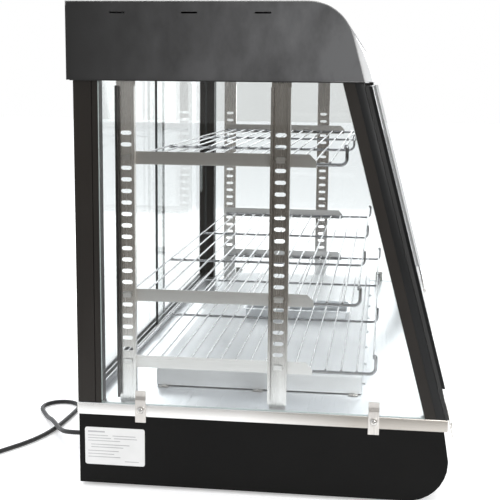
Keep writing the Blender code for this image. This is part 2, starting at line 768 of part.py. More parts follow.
def track_section(base_z, height, upward):
    """A channel with three ribs, between which the two doors run."""
    sign = 1 if upward else -1
    gap = (TRACK_FRONT - TRACK_REAR - 3 * TRACK_RIB) / 2
    points = [(TRACK_REAR, base_z)]
    r = TRACK_REAR
    floor_z, rib_z = base_z + sign * TRACK_BASE, base_z + sign * height
    for _ in range(2):
        points += [(r, rib_z), (r + TRACK_RIB, rib_z), (r + TRACK_RIB, floor_z)]
        points += [(r + TRACK_RIB + gap, floor_z)]
        r += TRACK_RIB + gap
    points += [(r, rib_z), (r + TRACK_RIB, rib_z), (r + TRACK_RIB, base_z)]
    return points


def make_doors():
    inner_x = BASE_X - FRAME_DEPTH - GAP
    bottom = track_section(DECK_TOP + GAP, TRACK_BOTTOM_HEIGHT, True)
    prism("door_track_bottom", [side_view(bottom)], "X", -inner_x, inner_x, CASE, ALUMINIUM)
    top = track_section(TRACK_TOP_Z, TRACK_TOP_HEIGHT, False)
    top_x = SIDE_X - 0.0014 - GAP
    prism("door_track_top", [side_view(top)], "X", -top_x, top_x, CASE, ALUMINIUM)
    for hand, side in SIDES.items():
        middle = DOOR_PLANES[hand]
        rs = (middle - DOOR_GLASS / 2, middle + DOOR_GLASS / 2)
        xs = tuple(sorted((-side * DOOR_OVERLAP, side * (inner_x - 0.001))))
        pull_x = side * (inner_x - 0.045)
        pull_low, pull_high = rs[0] - 0.001, rs[0] + PULL_DEPTH
        door = depth_box(f"door_{hand}", xs, rs, (DOOR_BOTTOM, DOOR_TOP), CASE, CLEAR)
        pull = slot_loop((0, 0), PULL_LENGTH, PULL_WIDTH, 6)
        upright_pull = [(pull_x + b, 0.330 + a) for a, b in pull]
        cutter = prism(
            f"door_{hand}_pull", [upright_pull], "Y", depth(pull_high), depth(pull_low), CUTTERS, None
        )
        boolean(door, cutter, "DIFFERENCE")


def make_controls():
    face = BASE_REAR - GAP
    reach = face + KNOB_REACH
    knob = turned(
        "thermostat_knob",
        [
            (0, reach), (0.0120, reach), (0.0145, reach - 0.0015), (0.0160, 0.0030), (KNOB_RADIUS, 0.0024),
            (KNOB_RADIUS, 0), (0.0032, 0), (0.0032, -0.0080), (0, -0.0080),
        ],
        (KNOB_X, depth(face), CONTROL_Z), (0, 1, 0), CASE, PLASTIC, 32,
    )
    smooth(knob)
    for name, x in SWITCH_XS.items():
        rocker = rocker_switch(name, x)
        rocker.rotation_euler = (SWITCH_TILT * DEGREE, 0, 0)
    box(
        "thermometer", (METER_X - 0.024, depth(face), CONTROL_Z - 0.014),
        (METER_X + 0.024, depth(face) + 0.004, CONTROL_Z + 0.014), CASE, PLASTIC,
    )


def rocker_switch(name, x):
    """A two-position paddle on its pivot, tilted to its off side."""
    outline = [(-0.0035, -0.0095), (0.0050, -0.0098), (0.0022, 0), (0.0050, 0.0098), (-0.0035, 0.0095)]
    rocker = prism(name, [outline], "X", -0.0065, 0.0065, CASE, PLASTIC)
    rocker.data.transform(rocker.matrix_world)
    rocker.matrix_world = Matrix.Translation((x, depth(BASE_REAR), CONTROL_Z))
    return rocker


def make_cord():
    face = BASE_REAR - GAP
    tip = face - RELIEF_TIP
    gland = turned(
        "cord_gland",
        [
            (0, tip), (0.0044, tip), (0.0068, 0.0045), (0.0105, 0.0035), (0.0105, 0), (0.0062, 0),
            (0.0062, -0.0100), (0, -0.0100),
        ],
        (EXIT_X, depth(face), EXIT_Z), (0, 1, 0), CASE, RUBBER, 16,
    )
    smooth(gland)
    run = [(x, depth(r), z) for x, r, z in CORD_ROUTE]
    smooth(tube("cord_run", [smooth_route(run, CORD_STEPS)], CORD_RADIUS, CASE, RUBBER))
    ring = [
        (COIL_OUTER, COIL_HEIGHT), (COIL_OUTER, 0.0002), (COIL_INNER, 0.0002), (COIL_INNER, COIL_HEIGHT),
        (COIL_OUTER, COIL_HEIGHT),
    ]
    turned("cord_coil", ring, (COIL_CENTRE[0], depth(COIL_CENTRE[1]), 0), (0, 0, 1), CASE, RUBBER, 28)
    tail = [(x, depth(r), z) for x, r, z in TAIL_ROUTE]
    smooth(tube("cord_tail", [smooth_route(tail, TAIL_STEPS)], CORD_RADIUS, CASE, RUBBER))
    plug = turned(
        "plug",
        [
            (0, 0.062), (0.0165, 0.062), (0.0165, 0.044), (0.0150, 0.030), (0.0080, 0.018), (0.0050, 0.001),
            (0, 0.001),
        ],
        (PLUG_X, depth(PLUG_R), PLUG_Z), (1, 0, 0), CASE, PLASTIC, 20,
    )
    for offset in (-0.0095, 0.0095):
        pin = cylinder(
            f"plug_pin_{'a' if offset < 0 else 'b'}", 0.0024,
            (PLUG_X + 0.060, depth(PLUG_R) + offset, PLUG_Z), (1, 0, 0), 0.021, CUTTERS, None, 10,
        )
        boolean(plug, pin, "UNION")


make_feet()
make_base()
make_rear_panel()
make_deck()
make_heater()
make_frame()
make_glass()
make_clips()
make_uprights()
make_rails()
make_shelves()
make_top()
make_doors()
make_controls()
make_cord()
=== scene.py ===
"""Heated bakery display case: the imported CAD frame, finished and lit as in a studio photograph.

The front faces -Y and the photographed end faces -X. Side views use depth(r), where r is the
distance forward of the case's rearmost plane, as in the CAD model. Lengths are in metres.
"""

import json
import math

import bmesh
import bpy
from mathutils import Matrix, Vector

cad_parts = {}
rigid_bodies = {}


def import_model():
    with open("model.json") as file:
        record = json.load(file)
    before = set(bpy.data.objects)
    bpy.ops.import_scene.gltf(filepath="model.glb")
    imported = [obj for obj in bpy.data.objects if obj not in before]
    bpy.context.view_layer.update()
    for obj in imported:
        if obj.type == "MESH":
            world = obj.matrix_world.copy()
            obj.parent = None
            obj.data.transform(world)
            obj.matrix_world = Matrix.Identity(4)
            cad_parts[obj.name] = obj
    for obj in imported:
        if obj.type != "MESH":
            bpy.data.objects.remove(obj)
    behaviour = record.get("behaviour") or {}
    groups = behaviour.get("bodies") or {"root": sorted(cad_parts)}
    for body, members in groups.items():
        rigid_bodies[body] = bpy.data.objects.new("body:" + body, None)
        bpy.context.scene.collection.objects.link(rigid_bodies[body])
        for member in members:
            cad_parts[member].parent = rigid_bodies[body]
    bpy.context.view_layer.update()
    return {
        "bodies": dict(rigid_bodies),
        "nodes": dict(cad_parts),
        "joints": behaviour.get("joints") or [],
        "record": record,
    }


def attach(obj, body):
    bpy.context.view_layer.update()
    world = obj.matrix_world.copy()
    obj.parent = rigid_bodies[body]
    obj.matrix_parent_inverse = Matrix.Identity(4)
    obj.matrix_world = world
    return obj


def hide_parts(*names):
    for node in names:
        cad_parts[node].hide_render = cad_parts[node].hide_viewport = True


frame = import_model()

NODES = frame["nodes"]
REAR_Y = 0.238
BODY = "case"
GAP = 0.0003
DEGREE = math.pi / 180


def depth(r):
    """World Y of a point r forward of the rearmost plane."""
    return REAR_Y - r


# ---------------------------------------------------------------- camera

def make_camera():
    data = bpy.data.cameras.new("camera")
    data.lens = 74.31
    data.sensor_width = 36.0
    data.clip_start = 0.02
    data.clip_end = 60
    camera = bpy.data.objects.new("camera", data)
    camera.location = (-1.6752, depth(0.3844), 0.5158)
    camera.rotation_euler = [a * DEGREE for a in (80.756, -0.573, -82.583)]
    bpy.context.scene.collection.objects.link(camera)
    bpy.context.scene.camera = camera


# ---------------------------------------------------------------- materials

class Finish:
    """A material with one Principled shader and the nodes that feed it."""

    def __init__(self, name, colour, roughness, metallic=0.0):
        self.material = bpy.data.materials.new(name)
        self.material.use_nodes = True
        self.tree = self.material.node_tree
        self.shader = self.tree.nodes["Principled BSDF"]
        self.shader.inputs["Base Color"].default_value = (*colour, 1)
        self.shader.inputs["Roughness"].default_value = roughness
        self.shader.inputs["Metallic"].default_value = metallic
        self.place = self.tree.nodes.new("ShaderNodeTexCoord").outputs["Object"]

    def node(self, kind, **settings):
        made = self.tree.nodes.new("ShaderNode" + kind)
        for name, value in settings.items():
            setattr(made, name, value)
        return made

    def link(self, source, target):
        self.tree.links.new(source, target)

    def feed(self, value, socket):
        """Link an output to a socket, or set the socket to a number or a colour."""
        if isinstance(value, bpy.types.NodeSocket):
            self.link(value, socket)
        else:
            socket.default_value = (*value, 1) if isinstance(value, tuple) else value

    def math(self, operation, *values):
        made = self.node("Math", operation=operation)
        for value, socket in zip(values, made.inputs):
            self.feed(value, socket)
        return made.outputs[0]

    def axis(self, letter):
        """The object's own coordinate along one axis."""
        split = self.node("SeparateXYZ")
        self.link(self.place, split.inputs[0])
        return split.outputs[letter]

    def noise(self, scales, detail=2.0, rough=0.5):
        """Noise with this frequency per metre: one number, or three that stretch its grain."""
        mapping = self.node("Mapping")
        mapping.inputs["Scale"].default_value = scales if isinstance(scales, (tuple, list)) else (scales,) * 3
        self.link(self.place, mapping.inputs["Vector"])
        noise = self.node("TexNoise")
        noise.inputs["Scale"].default_value = 1
        noise.inputs["Detail"].default_value = detail
        noise.inputs["Roughness"].default_value = rough
        self.link(mapping.outputs[0], noise.inputs["Vector"])
        return noise.outputs["Fac"]

    def span(self, value, low, high, source=(0.3, 0.7)):
        """value, spread from the source range to low and high."""
        made = self.node("MapRange")
        self.link(value, made.inputs["Value"])
        ends = ("From Min", "From Max", "To Min", "To Max")
        for name, number in zip(ends, (*source, low, high)):
            made.inputs[name].default_value = number
        return made.outputs["Result"]

    def blend(self, factor, first, second):
        """A mix of two tones, each a colour or an output."""
        made = self.node("Mix", data_type="RGBA")
        self.link(factor, made.inputs["Factor"])
        self.feed(first, made.inputs["A"])
        self.feed(second, made.inputs["B"])
        return made.outputs["Result"]

    def colour(self, output):
        self.link(output, self.shader.inputs["Base Color"])

    def painted_edge_highlight(self, output, radius, tone, where):
        """output, turned to a paler tone within a radius of the sharp edges, where where is 1: a painted
        highlight along those edges.
        """
        bevel = self.node("Bevel", samples=4)
        bevel.inputs["Radius"].default_value = radius
        along = self.node("VectorMath", operation="DOT_PRODUCT")
        self.link(bevel.outputs[0], along.inputs[0])
        self.link(self.node("NewGeometry").outputs["Normal"], along.inputs[1])
        edges = self.span(along.outputs["Value"], 1, 0, (0.85, 0.995))
        return self.blend(self.math("MULTIPLY", edges, where), output, tone)

    def roughness(self, output):
        self.link(output, self.shader.inputs["Roughness"])

    def bump(self, height, strength, distance, edge=0.0):
        """Fine relief; edge is the radius by which the sharp edges look rounded."""
        made = self.node("Bump")
        made.inputs["Strength"].default_value = strength
        made.inputs["Distance"].default_value = distance
        self.link(height, made.inputs["Height"])
        if edge:
            bevel = self.node("Bevel", samples=4)
            bevel.inputs["Radius"].default_value = edge
            self.link(bevel.outputs[0], made.inputs["Normal"])
        self.link(made.outputs[0], self.shader.inputs["Normal"])


def scaled(colour, factor):
    return tuple(min(1.0, c * factor) for c in colour)


def enamel(name, colour, roughness, grain=900, peel=0.05, gloss=0.5):
    """Baked enamel on sheet steel: faint orange peel and cloudy gloss."""
    finish = Finish(name, colour, roughness)
    finish.shader.inputs["Specular IOR Level"].default_value = gloss
    cloud = finish.noise(7, 3)
    finish.colour(finish.blend(finish.span(cloud, 0, 1), scaled(colour, 0.85), scaled(colour, 1.2)))
    wipe = finish.noise((30, 30, 9), 4, 0.6)
    finish.roughness(finish.span(wipe, roughness - 0.05, roughness + 0.06))
    finish.bump(finish.noise(grain, 2), peel, 0.0003, 0.0008)
    return finish.material


def sheen_painted_enamel(name):
    """Black enamel with a painted sheen that grows toward the front, broken up by cloudy smears, and painted
    highlights along the top and front edges.
    """
    finish = Finish(name, (0.012, 0.012, 0.012), 0.48)
    # painted sheen: the black turns grey toward the front, standing in for the lamps' reflection; the cloudy
    # marks are smears on the enamel
    painted_sheen = finish.span(finish.axis("Y"), 1.0, 0.0, (-0.12, 0.24))
    cloud = finish.noise((26, 26, 16), 4, 0.6)
    marks = finish.span(cloud, 0.55, 1.25, (0.32, 0.68))
    sheen_with_smears = finish.math("MULTIPLY", painted_sheen, marks)
    tone = finish.blend(sheen_with_smears, (0.0052, 0.0050, 0.0048), (0.092, 0.093, 0.096))
    # where the painted highlight runs: along the top edge and the front curve
    top = finish.span(finish.axis("Z"), 0, 1, (0.603, 0.606))
    front = finish.span(finish.axis("Y"), 1, 0, (-0.09, -0.065))
    rim = finish.math("MAXIMUM", top, front)
    finish.colour(finish.painted_edge_highlight(tone, 0.0024, (0.60, 0.60, 0.60), rim))
    finish.roughness(finish.span(cloud, 0.44, 0.54))
    finish.bump(finish.noise(900, 2), 0.05, 0.0003, 0.0006)
    return finish.material


def brushed(name, colour, along, roughness=0.30, contrast=0.16, bump=0.12, painted_light_ramp=None, metal=1.0):
    """Stainless steel brushed along one axis: fine streaks and broader bands.

    The ramp of painted light and shade is (axis, start, end, colour): the tone that the steel reaches at the
    end of that stretch.
    """
    finish = Finish(name, colour, roughness, metal)
    fine = [2400.0, 2400.0, 2400.0]
    band = [90.0, 90.0, 90.0]
    fine["XYZ".index(along)] = 14.0
    band["XYZ".index(along)] = 1.2
    streak = finish.noise(fine, 3, 0.65)
    wide = finish.noise(band, 3, 0.6)
    mixed = finish.math("MULTIPLY_ADD", streak, 0.55, finish.math("MULTIPLY", wide, 0.45))
    grain = finish.span(mixed, 0, 1)

    def grained(tint):
        return finish.blend(grain, scaled(tint, 1 - contrast), scaled(tint, 1 + contrast * 0.6))

    tone = grained(colour)
    # painted light and shade: the steel's tone shifts along one axis of the piece
    if painted_light_ramp:
        painted_light_weight = finish.span(finish.axis(painted_light_ramp[0]), 0, 1, painted_light_ramp[1:3])
        tone = finish.blend(painted_light_weight, tone, grained(painted_light_ramp[3]))
    finish.colour(tone)
    finish.roughness(finish.span(mixed, roughness + 0.07, roughness - 0.06))
    finish.bump(streak, bump, 0.0001, 0.0005)
    return finish.material


def plated(name, colour, roughness):
    """Bright plating: nearly a mirror, with slight waviness and thin spots."""
    finish = Finish(name, colour, roughness, 1.0)
    spots = finish.noise(160, 3)
    finish.colour(finish.blend(finish.span(spots, 0, 1), scaled(colour, 0.88), scaled(colour, 1.06)))
    finish.roughness(finish.span(finish.noise(60, 3), roughness * 0.6, roughness * 1.6))
    finish.bump(finish.noise(420, 1), 0.10, 0.0002)
    return finish.material


def moulded(name, colour, roughness, grain=1600, bump=0.15, sheen=0.0, tones=(0.8, 1.3)):
    """Moulded plastic or rubber with a fine grain; tones are the factors of its darkest and palest parts."""
    finish = Finish(name, colour, roughness)
    cloud = finish.noise(35, 3)
    low, high = (scaled(colour, tone) for tone in tones)
    finish.colour(finish.blend(finish.span(cloud, 0, 1), low, high))
    finish.roughness(finish.span(finish.noise(220, 2), roughness - 0.06, roughness + 0.06))
    finish.bump(finish.noise(grain, 2), bump, 0.0002)
    finish.shader.inputs["Sheen Weight"].default_value = sheen
    return finish.material


def pane_material(name, tint, smear=0.03):
    """Clear glass for a pane's faces: light passes straight through, and the rest mirrors."""
    finish = Finish(name, tint, 0.02)
    steep = finish.math("POWER", finish.node("LayerWeight").outputs["Facing"], 5)
    mirror = finish.span(steep, 0.03, 0.42, (0, 1))
    clear = finish.node("BsdfTransparent")
    clear.inputs["Color"].default_value = (*tint, 1)
    gloss = finish.shader
    gloss.inputs["Base Color"].default_value = (1, 1, 1, 1)
    gloss.inputs["Metallic"].default_value = 1
    finish.roughness(finish.span(finish.noise(14, 4, 0.6), 0.01, smear))
    mix = finish.node("MixShader")
    finish.link(mirror, mix.inputs["Fac"])
    finish.link(clear.outputs[0], mix.inputs[1])
    finish.link(gloss.outputs[0], mix.inputs[2])
    output = finish.tree.nodes["Material Output"]
    finish.link(mix.outputs[0], output.inputs["Surface"])
    return finish.material


def glass_edge(name, colour, alpha):
    """The ground and polished edge of a pane, where its tint is deep."""
    finish = Finish(name, colour, 0.25)
    cloud = finish.span(finish.noise(260, 2), 0, 1)
    finish.colour(finish.blend(cloud, scaled(colour, 0.85), colour))
    finish.shader.inputs["Alpha"].default_value = alpha
    return finish.material


ENAMEL = enamel("black_enamel_sheet", (0.010, 0.0098, 0.0096), 0.42)
SIDE_ENAMEL = sheen_painted_enamel("black_enamel_side")
BASE_ENAMEL = enamel("black_enamel_base", (0.0048, 0.0047, 0.0045), 0.40, 900, 0.05, 0.09)
POST_ENAMEL = enamel("dark_post_enamel", (0.0135, 0.0112, 0.0093), 0.45, 1300, 0.09, 0.26)
FOLD_ENAMEL = enamel("dark_fold_enamel", (0.0085, 0.0088, 0.0092), 0.42, 1300, 0.09, 0.22)
STRIP_BLACK = enamel("black_glass_print", (0.0045, 0.0045, 0.0048), 0.34, 1300, 0.05, 0.2)
# Front uprights: paler toward the bottom, painted light.
STEEL_Z = brushed(
    "brushed_steel_upright", (0.50, 0.465, 0.43), "Z", 0.26, 0.24, painted_light_ramp=("Z", 0.24, 0.13, (0.86, 0.85, 0.84))
)
# Rear uprights: a paler, painted-lit copy of the front uprights' steel, paler still toward the bottom.
STEEL_REAR_LIT = brushed(
    "brushed_steel_rear_upright_lit", (0.84, 0.80, 0.76), "Z", 0.26, 0.20,
    painted_light_ramp=("Z", 0.24, 0.13, (0.98, 0.97, 0.96)),
)
STEEL_DARK = brushed("shaded_steel_lip", (0.060, 0.058, 0.056), "Z", 0.34, 0.2)
# Shelf rails: paler on the lower rails, painted light.
STEEL_Y = brushed("brushed_steel_rail", (0.66, 0.635, 0.61), "Y", painted_light_ramp=("Z", 0.43, 0.24, (0.90, 0.89, 0.88)))
STEEL_X = brushed("brushed_steel_sheet", (0.84, 0.855, 0.875), "X", 0.30, 0.07)
STEEL_HEATER = brushed("brushed_steel_heater", (0.93, 0.94, 0.955), "X", 0.42, 0.05, metal=0.45)
# Deck ends: darker and browner toward the front, painted shade.
STEEL_RIM = brushed(
    "brushed_steel_rim", (0.86, 0.85, 0.83), "Y", 0.30, 0.10, painted_light_ramp=("Y", 0.02, -0.12, (0.45, 0.425, 0.39))
)
# A darker copy of the deck sheet's steel for its front and rear faces: painted shade.
STEEL_TRIM_SHADED = brushed("brushed_steel_trim_shaded", (0.40, 0.388, 0.37), "X", 0.32, 0.16)
STEEL_CLIP = brushed("brushed_steel_clip", (0.62, 0.595, 0.565), "Z", 0.28)
TRACK = brushed("anodised_track_metal", (0.34, 0.34, 0.35), "X", 0.36)
BOLT = plated("zinc_bolt", (0.56, 0.55, 0.53), 0.20)
CHROME = plated("bright_chrome", (0.43, 0.43, 0.44), 0.12)
RUBBER = moulded("black_rubber_cover", (0.012, 0.012, 0.012), 0.55, 1200, 0.2, 0.1)
FOOT_RUBBER = moulded("foot_rubber", (0.018, 0.018, 0.018), 0.70)
# Black seal for the pane edges; the same black also stands as painted shadow in the gaps under the heater
# cover and the top side panels.
SEAL_AND_SHADE = moulded("glass_seal", (0.008, 0.008, 0.008), 0.60)
PLASTIC = moulded("black_moulding", (0.016, 0.016, 0.017), 0.42)
WHITE_MARK = moulded("white_marking", (0.78, 0.78, 0.76), 0.45)
GREY_MARK = moulded("grey_marking", (0.34, 0.34, 0.35), 0.45)
RED_LENS = moulded("indicator_lens", (0.35, 0.02, 0.015), 0.18)
OPAL = moulded("opal_sign_panel", (0.68, 0.69, 0.695), 0.22, 700, 0.03, tones=(0.97, 1.03))
LABEL = moulded("blank_label_film", (0.66, 0.66, 0.655), 0.38, 500, 0.05, tones=(0.96, 1.04))
LAMP = moulded("frosted_lamp_tube", (0.85, 0.85, 0.84), 0.30, tones=(0.96, 1.04))
DISPLAY = moulded("display_window", (0.10, 0.12, 0.10), 0.12)
GLASS = pane_material("clear_pane", (0.925, 0.934, 0.933))
GLASS_EDGE = glass_edge("pane_edge_pale", (0.62, 0.70, 0.68), 0.85)
DOOR_EDGE = glass_edge("pane_edge_dark", (0.045, 0.05, 0.05), 1.0)
GLASS_FROST = glass_edge("ground_finger_pull", (0.80, 0.84, 0.83), 0.45)


# ---------------------------------------------------------------- pieces

def finish_piece(obj, material, body, replaces=()):
    """Link a piece, give it its finish and tie it to the body that it moves with."""
    bpy.context.scene.collection.objects.link(obj)
    obj.data.materials.append(material)
    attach(obj, body)
    if replaces:
        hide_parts(*replaces)
    return obj


def mesh_piece(name, shape, material, body, replaces=(), smooth_angle=None):
    """A piece from a bmesh, which is used up."""
    mesh = bpy.data.meshes.new(name)
    bmesh.ops.recalc_face_normals(shape, faces=shape.faces)
    shape.to_mesh(mesh)
    shape.free()
    if smooth_angle is not None:
        mesh.shade_smooth()
        mesh.set_sharp_from_angle(angle=smooth_angle * DEGREE)
    return finish_piece(bpy.data.objects.new(name, mesh), material, body, replaces)


AXIS_FRAMES = {
    "X": Matrix(((0, 0, 1), (1, 0, 0), (0, 1, 0))),
    "Y": Matrix(((1, 0, 0), (0, 0, -1), (0, 1, 0))),
    "Z": Matrix.Identity(3),
}


def prism_shape(outline, axis, low, high, bevel=0.0, segments=2):
    """A closed shape of constant section: (y, z) points for axis X, (x, z) for Y, (x, y) for Z."""
    shape = bmesh.new()
    turn = AXIS_FRAMES[axis]
    along = Vector([1 if letter == axis else 0 for letter in "XYZ"])
    verts = [shape.verts.new(turn @ Vector((a, b, 0)) + along * low) for a, b in outline]
    face = shape.faces.new(verts)
    sweep = bmesh.ops.extrude_face_region(shape, geom=[face])
    far = [v for v in sweep["geom"] if isinstance(v, bmesh.types.BMVert)]
    bmesh.ops.translate(shape, verts=far, vec=along * (high - low))
    bmesh.ops.recalc_face_normals(shape, faces=shape.faces)
    if bevel:
        sharp = [e for e in shape.edges if e.is_manifold and e.calc_face_angle(0) > 0.5]
        bmesh.ops.bevel(shape, geom=sharp, offset=bevel, segments=segments, profile=0.5, affect="EDGES")
    return shape


def moved(shape, matrix):
    """The shape, moved by matrix."""
    bmesh.ops.transform(shape, matrix=matrix, verts=shape.verts)
    return shape


def add_shape(shape, other, matrix=None):
    """Join a copy of other, moved by matrix, to shape, and free it."""
    if matrix is not None:
        moved(other, matrix)
    spare = bpy.data.meshes.new("spare")
    other.to_mesh(spare)
    other.free()
    shape.from_mesh(spare)
    bpy.data.meshes.remove(spare)


def bridge(shape, loops):
    """Add the faces between each closed loop of vertices and the next."""
    for lower, upper in zip(loops, loops[1:]):
        for i in range(len(lower)):
            j = (i + 1) % len(lower)
            shape.faces.new((lower[i], lower[j], upper[j], upper[i]))


def lathe_shape(profile, steps=32, flute=None):
    """A turned shape about Z from (radius, height) points.

    flute(angle, radius, height) may change the radius.
    """
    shape = bmesh.new()
    rings = []
    for radius, height in profile:
        if radius < 1e-6:
            rings.append([shape.verts.new((0, 0, height))])
            continue
        ring = []
        for i in range(steps):
            angle = 2 * math.pi * i / steps
            reach = flute(angle, radius, height) if flute else radius
            ring.append(shape.verts.new((reach * math.cos(angle), reach * math.sin(angle), height)))
        rings.append(ring)
    for lower, upper in zip(rings, rings[1:]):
        for i in range(steps):
            j = (i + 1) % steps
            if len(lower) == 1 and len(upper) == 1:
                continue
            if len(lower) == 1:
                shape.faces.new((lower[0], upper[i], upper[j]))
            elif len(upper) == 1:
                shape.faces.new((lower[i], lower[j], upper[0]))
            else:
                shape.faces.new((lower[i], lower[j], upper[j], upper[i]))
    for ring in (rings[0], rings[-1]):
        if len(ring) > 1:
            shape.faces.new(ring)
    bmesh.ops.recalc_face_normals(shape, faces=shape.faces)
    return shape


def box_shape(low, high, bevel=0.0):
    """A box between two corners."""
    outline = [(low[0], low[1]), (high[0], low[1]), (high[0], high[1]), (low[0], high[1])]
    return prism_shape(outline, "Z", low[2], high[2], bevel)


def arc(centre, radius, start, end, steps):
    """Points of an arc from start to end, in degrees."""
    angles = [(start + (end - start) * i / steps) * DEGREE for i in range(steps + 1)]
    return [(centre[0] + radius * math.cos(a), centre[1] + radius * math.sin(a)) for a in angles]


def rounded_rectangle(centre, width, height, radius, steps=5):
    """Points of a rectangle whose corners are arcs of so many steps."""
    points = []
    for i, (sx, sy) in enumerate(((1, 1), (-1, 1), (-1, -1), (1, -1))):
        corner = (centre[0] + sx * (width / 2 - radius), centre[1] + sy * (height / 2 - radius))
        points += arc(corner, radius, 90 * i, 90 * i + 90, steps)
    return points


def spread(low, high, count):
    """So many evenly spaced numbers from low to high."""
    return [low + (high - low) * i / (count - 1) for i in range(count)]


def stand(x, r, z, axis=(0, 0, 1)):
    """The matrix that stands a shape on a point, with its own Z along axis."""
    turn = Vector((0, 0, 1)).rotation_difference(Vector(axis)).to_matrix().to_4x4()
    return Matrix.Translation((x, depth(r), z)) @ turn


def tube_curve(name, route, radius):
    """A round tube along a route, as a curve object."""
    curve = bpy.data.curves.new(name, "CURVE")
    curve.dimensions = "3D"
    curve.bevel_depth = radius
    curve.bevel_resolution = 3
    curve.use_fill_caps = True
    spline = curve.splines.new("POLY")
    spline.points.add(len(route) - 1)
    for point, at in zip(spline.points, route):
        point.co = (*at, 1)
    return bpy.data.objects.new(name, curve)


def smooth_route(points, steps):
    """Points on a smooth curve that the given ones guide, from the first of them to the last."""
    ends = [2 * Vector(points[0]) - Vector(points[1])]
    ends += [Vector(p) for p in points]
    ends.append(2 * Vector(points[-1]) - Vector(points[-2]))
    line = []
    for a, b, c, d in zip(ends, ends[1:], ends[2:], ends[3:]):
        for i in range(steps):
            t = i / steps
            near = (1 - t) ** 3 * a + (3 * t**3 - 6 * t**2 + 4) * b
            line.append((near + (1 + 3 * t + 3 * t**2 - 3 * t**3) * c + t**3 * d) / 6)
    return line + [ends[-2]]


# ---------------------------------------------------------------- cord

CORD_RADIUS = 0.0033
CORD_LIE = 0.0036
# (x, r, z) from the strain relief down to the table
CORD_DROP = (
    (-0.3120, -0.0223, 0.0220), (-0.3118, -0.0363, 0.0218), (-0.3077, -0.0495, 0.0204),
    (-0.2976, -0.0603, 0.0177), (-0.2855, -0.0673, 0.0151), (-0.2734, -0.0743, 0.0129),
    (-0.2613, -0.0813, 0.0119), (-0.2483, -0.0888, 0.0115), (-0.2362, -0.0958, 0.0107),
    (-0.2241, -0.1028, 0.0092), (-0.2119, -0.1098, 0.0063), (-0.1989, -0.1173, 0.0038),
)
# (x, r) where it lies on the table, as far as the coil
CORD_RUN = (
    (-0.1868, -0.1243), (-0.1747, -0.1313), (-0.1625, -0.1383), (-0.1490, -0.1413), (-0.1347, -0.1373),
    (-0.1247, -0.1276), (-0.1202, -0.1145), (-0.1222, -0.1007), (-0.1310, -0.0888), (-0.1436, -0.0829),
    (-0.1576, -0.0826), (-0.1716, -0.0831), (-0.1865, -0.0839), (-0.2005, -0.0846), (-0.2145, -0.0855),
    (-0.2285, -0.0865), (-0.2424, -0.0880), (-0.2572, -0.0905), (-0.2708, -0.0937), (-0.2842, -0.0976),
    (-0.2974, -0.1024), (-0.3111, -0.1085), (-0.3234, -0.1151), (-0.3354, -0.1224), (-0.3472, -0.1299),
    (-0.3600, -0.1378), (-0.3718, -0.1452), (-0.3837, -0.1526),
)
COIL_CENTRE = (-0.3573, -0.1950)
COIL_MIDDLE = 0.0358
COIL_PITCH = 0.0069
COIL_LAYERS = (0.0036, 0.0104)
# (x, r, z) from the top of the coil to the plug
TAIL_ROUTE = (
    (-0.3616, -0.2448, 0.0080), (-0.3470, -0.2462, 0.0095), (-0.3310, -0.2466, 0.0130),
    (-0.3150, -0.2466, 0.0163), (-0.3010, -0.2466, 0.0175),
)
PLUG_AT = (-0.3007, -0.2466, 0.0175)
RELIEF_AT = (-0.312, 0.0084, 0.022)


def coil_route():
    """The coil's turns: inward along the table, then outward again on top of them."""
    start, end = 121.9, 265.0 + 5 * 360
    low, high = COIL_LAYERS
    inner, outer = COIL_MIDDLE - COIL_PITCH, COIL_MIDDLE + COIL_PITCH
    # (degrees, radius, height) of the line that the turns follow
    keys = [
        (start, outer + 0.0071, low), (start + 60, outer, low),
        (start + 330, outer, low), (start + 400, COIL_MIDDLE, low),
        (start + 690, COIL_MIDDLE, low), (start + 760, inner, low),
        (start + 1040, inner, low), (start + 1110, inner, high),
        (start + 1400, inner, high), (start + 1470, COIL_MIDDLE, high),
        (start + 1760, COIL_MIDDLE, high), (start + 1830, outer, high),
        (end - 60, outer, high), (end, outer + 0.0072, 0.0084),
    ]
    route = []
    for (a, ra, za), (b, rb, zb) in zip(keys, keys[1:]):
        count = max(2, round((b - a) / 15))
        for i in range(count):
            t = i / count
            ease = t * t * (3 - 2 * t)
            angle = (a + (b - a) * t) * DEGREE
            reach = ra + (rb - ra) * ease
            x = COIL_CENTRE[0] + reach * math.cos(angle)
            r = COIL_CENTRE[1] + reach * math.sin(angle)
            route.append((x, r, za + (zb - za) * ease))
    return route[1:]


def make_cord():
    run = [(x, r, CORD_LIE) for x, r in CORD_RUN]
    line = list(CORD_DROP) + run + coil_route() + list(TAIL_ROUTE)
    path = smooth_route([(x, depth(r), z) for x, r, z in line], 2)
    cord = tube_curve("power_cord", path, CORD_RADIUS)
    finish_piece(cord, RUBBER, BODY, ("cord_run", "cord_coil", "cord_tail"))
    x, r, z = RELIEF_AT
    relief = [(0, 0.0304), (0.0044, 0.0304), (0.00455, 0.0290)]
    for i in range(5):
        height = 0.0270 - 0.0045 * i
        radius = 0.0047 + 0.00045 * i
        relief += [(radius, height + 0.0012), (radius, height - 0.0006)]
        relief += [(radius - 0.0009, height - 0.0009), (radius - 0.0008, height - 0.0025)]
    relief += [(0.0070, 0.0045), (0.0104, 0.0035), (0.0105, 0.0028), (0.0105, 0.0), (0.0062, 0.0)]
    relief += [(0.0062, -0.0100), (0, -0.0100)]
    shape = moved(lathe_shape(relief, 28), stand(x, r, z, (0, 1, 0)))
    gland = mesh_piece("strain_relief", shape, RUBBER, BODY, ("cord_gland",), 35)
    plug = make_plug()


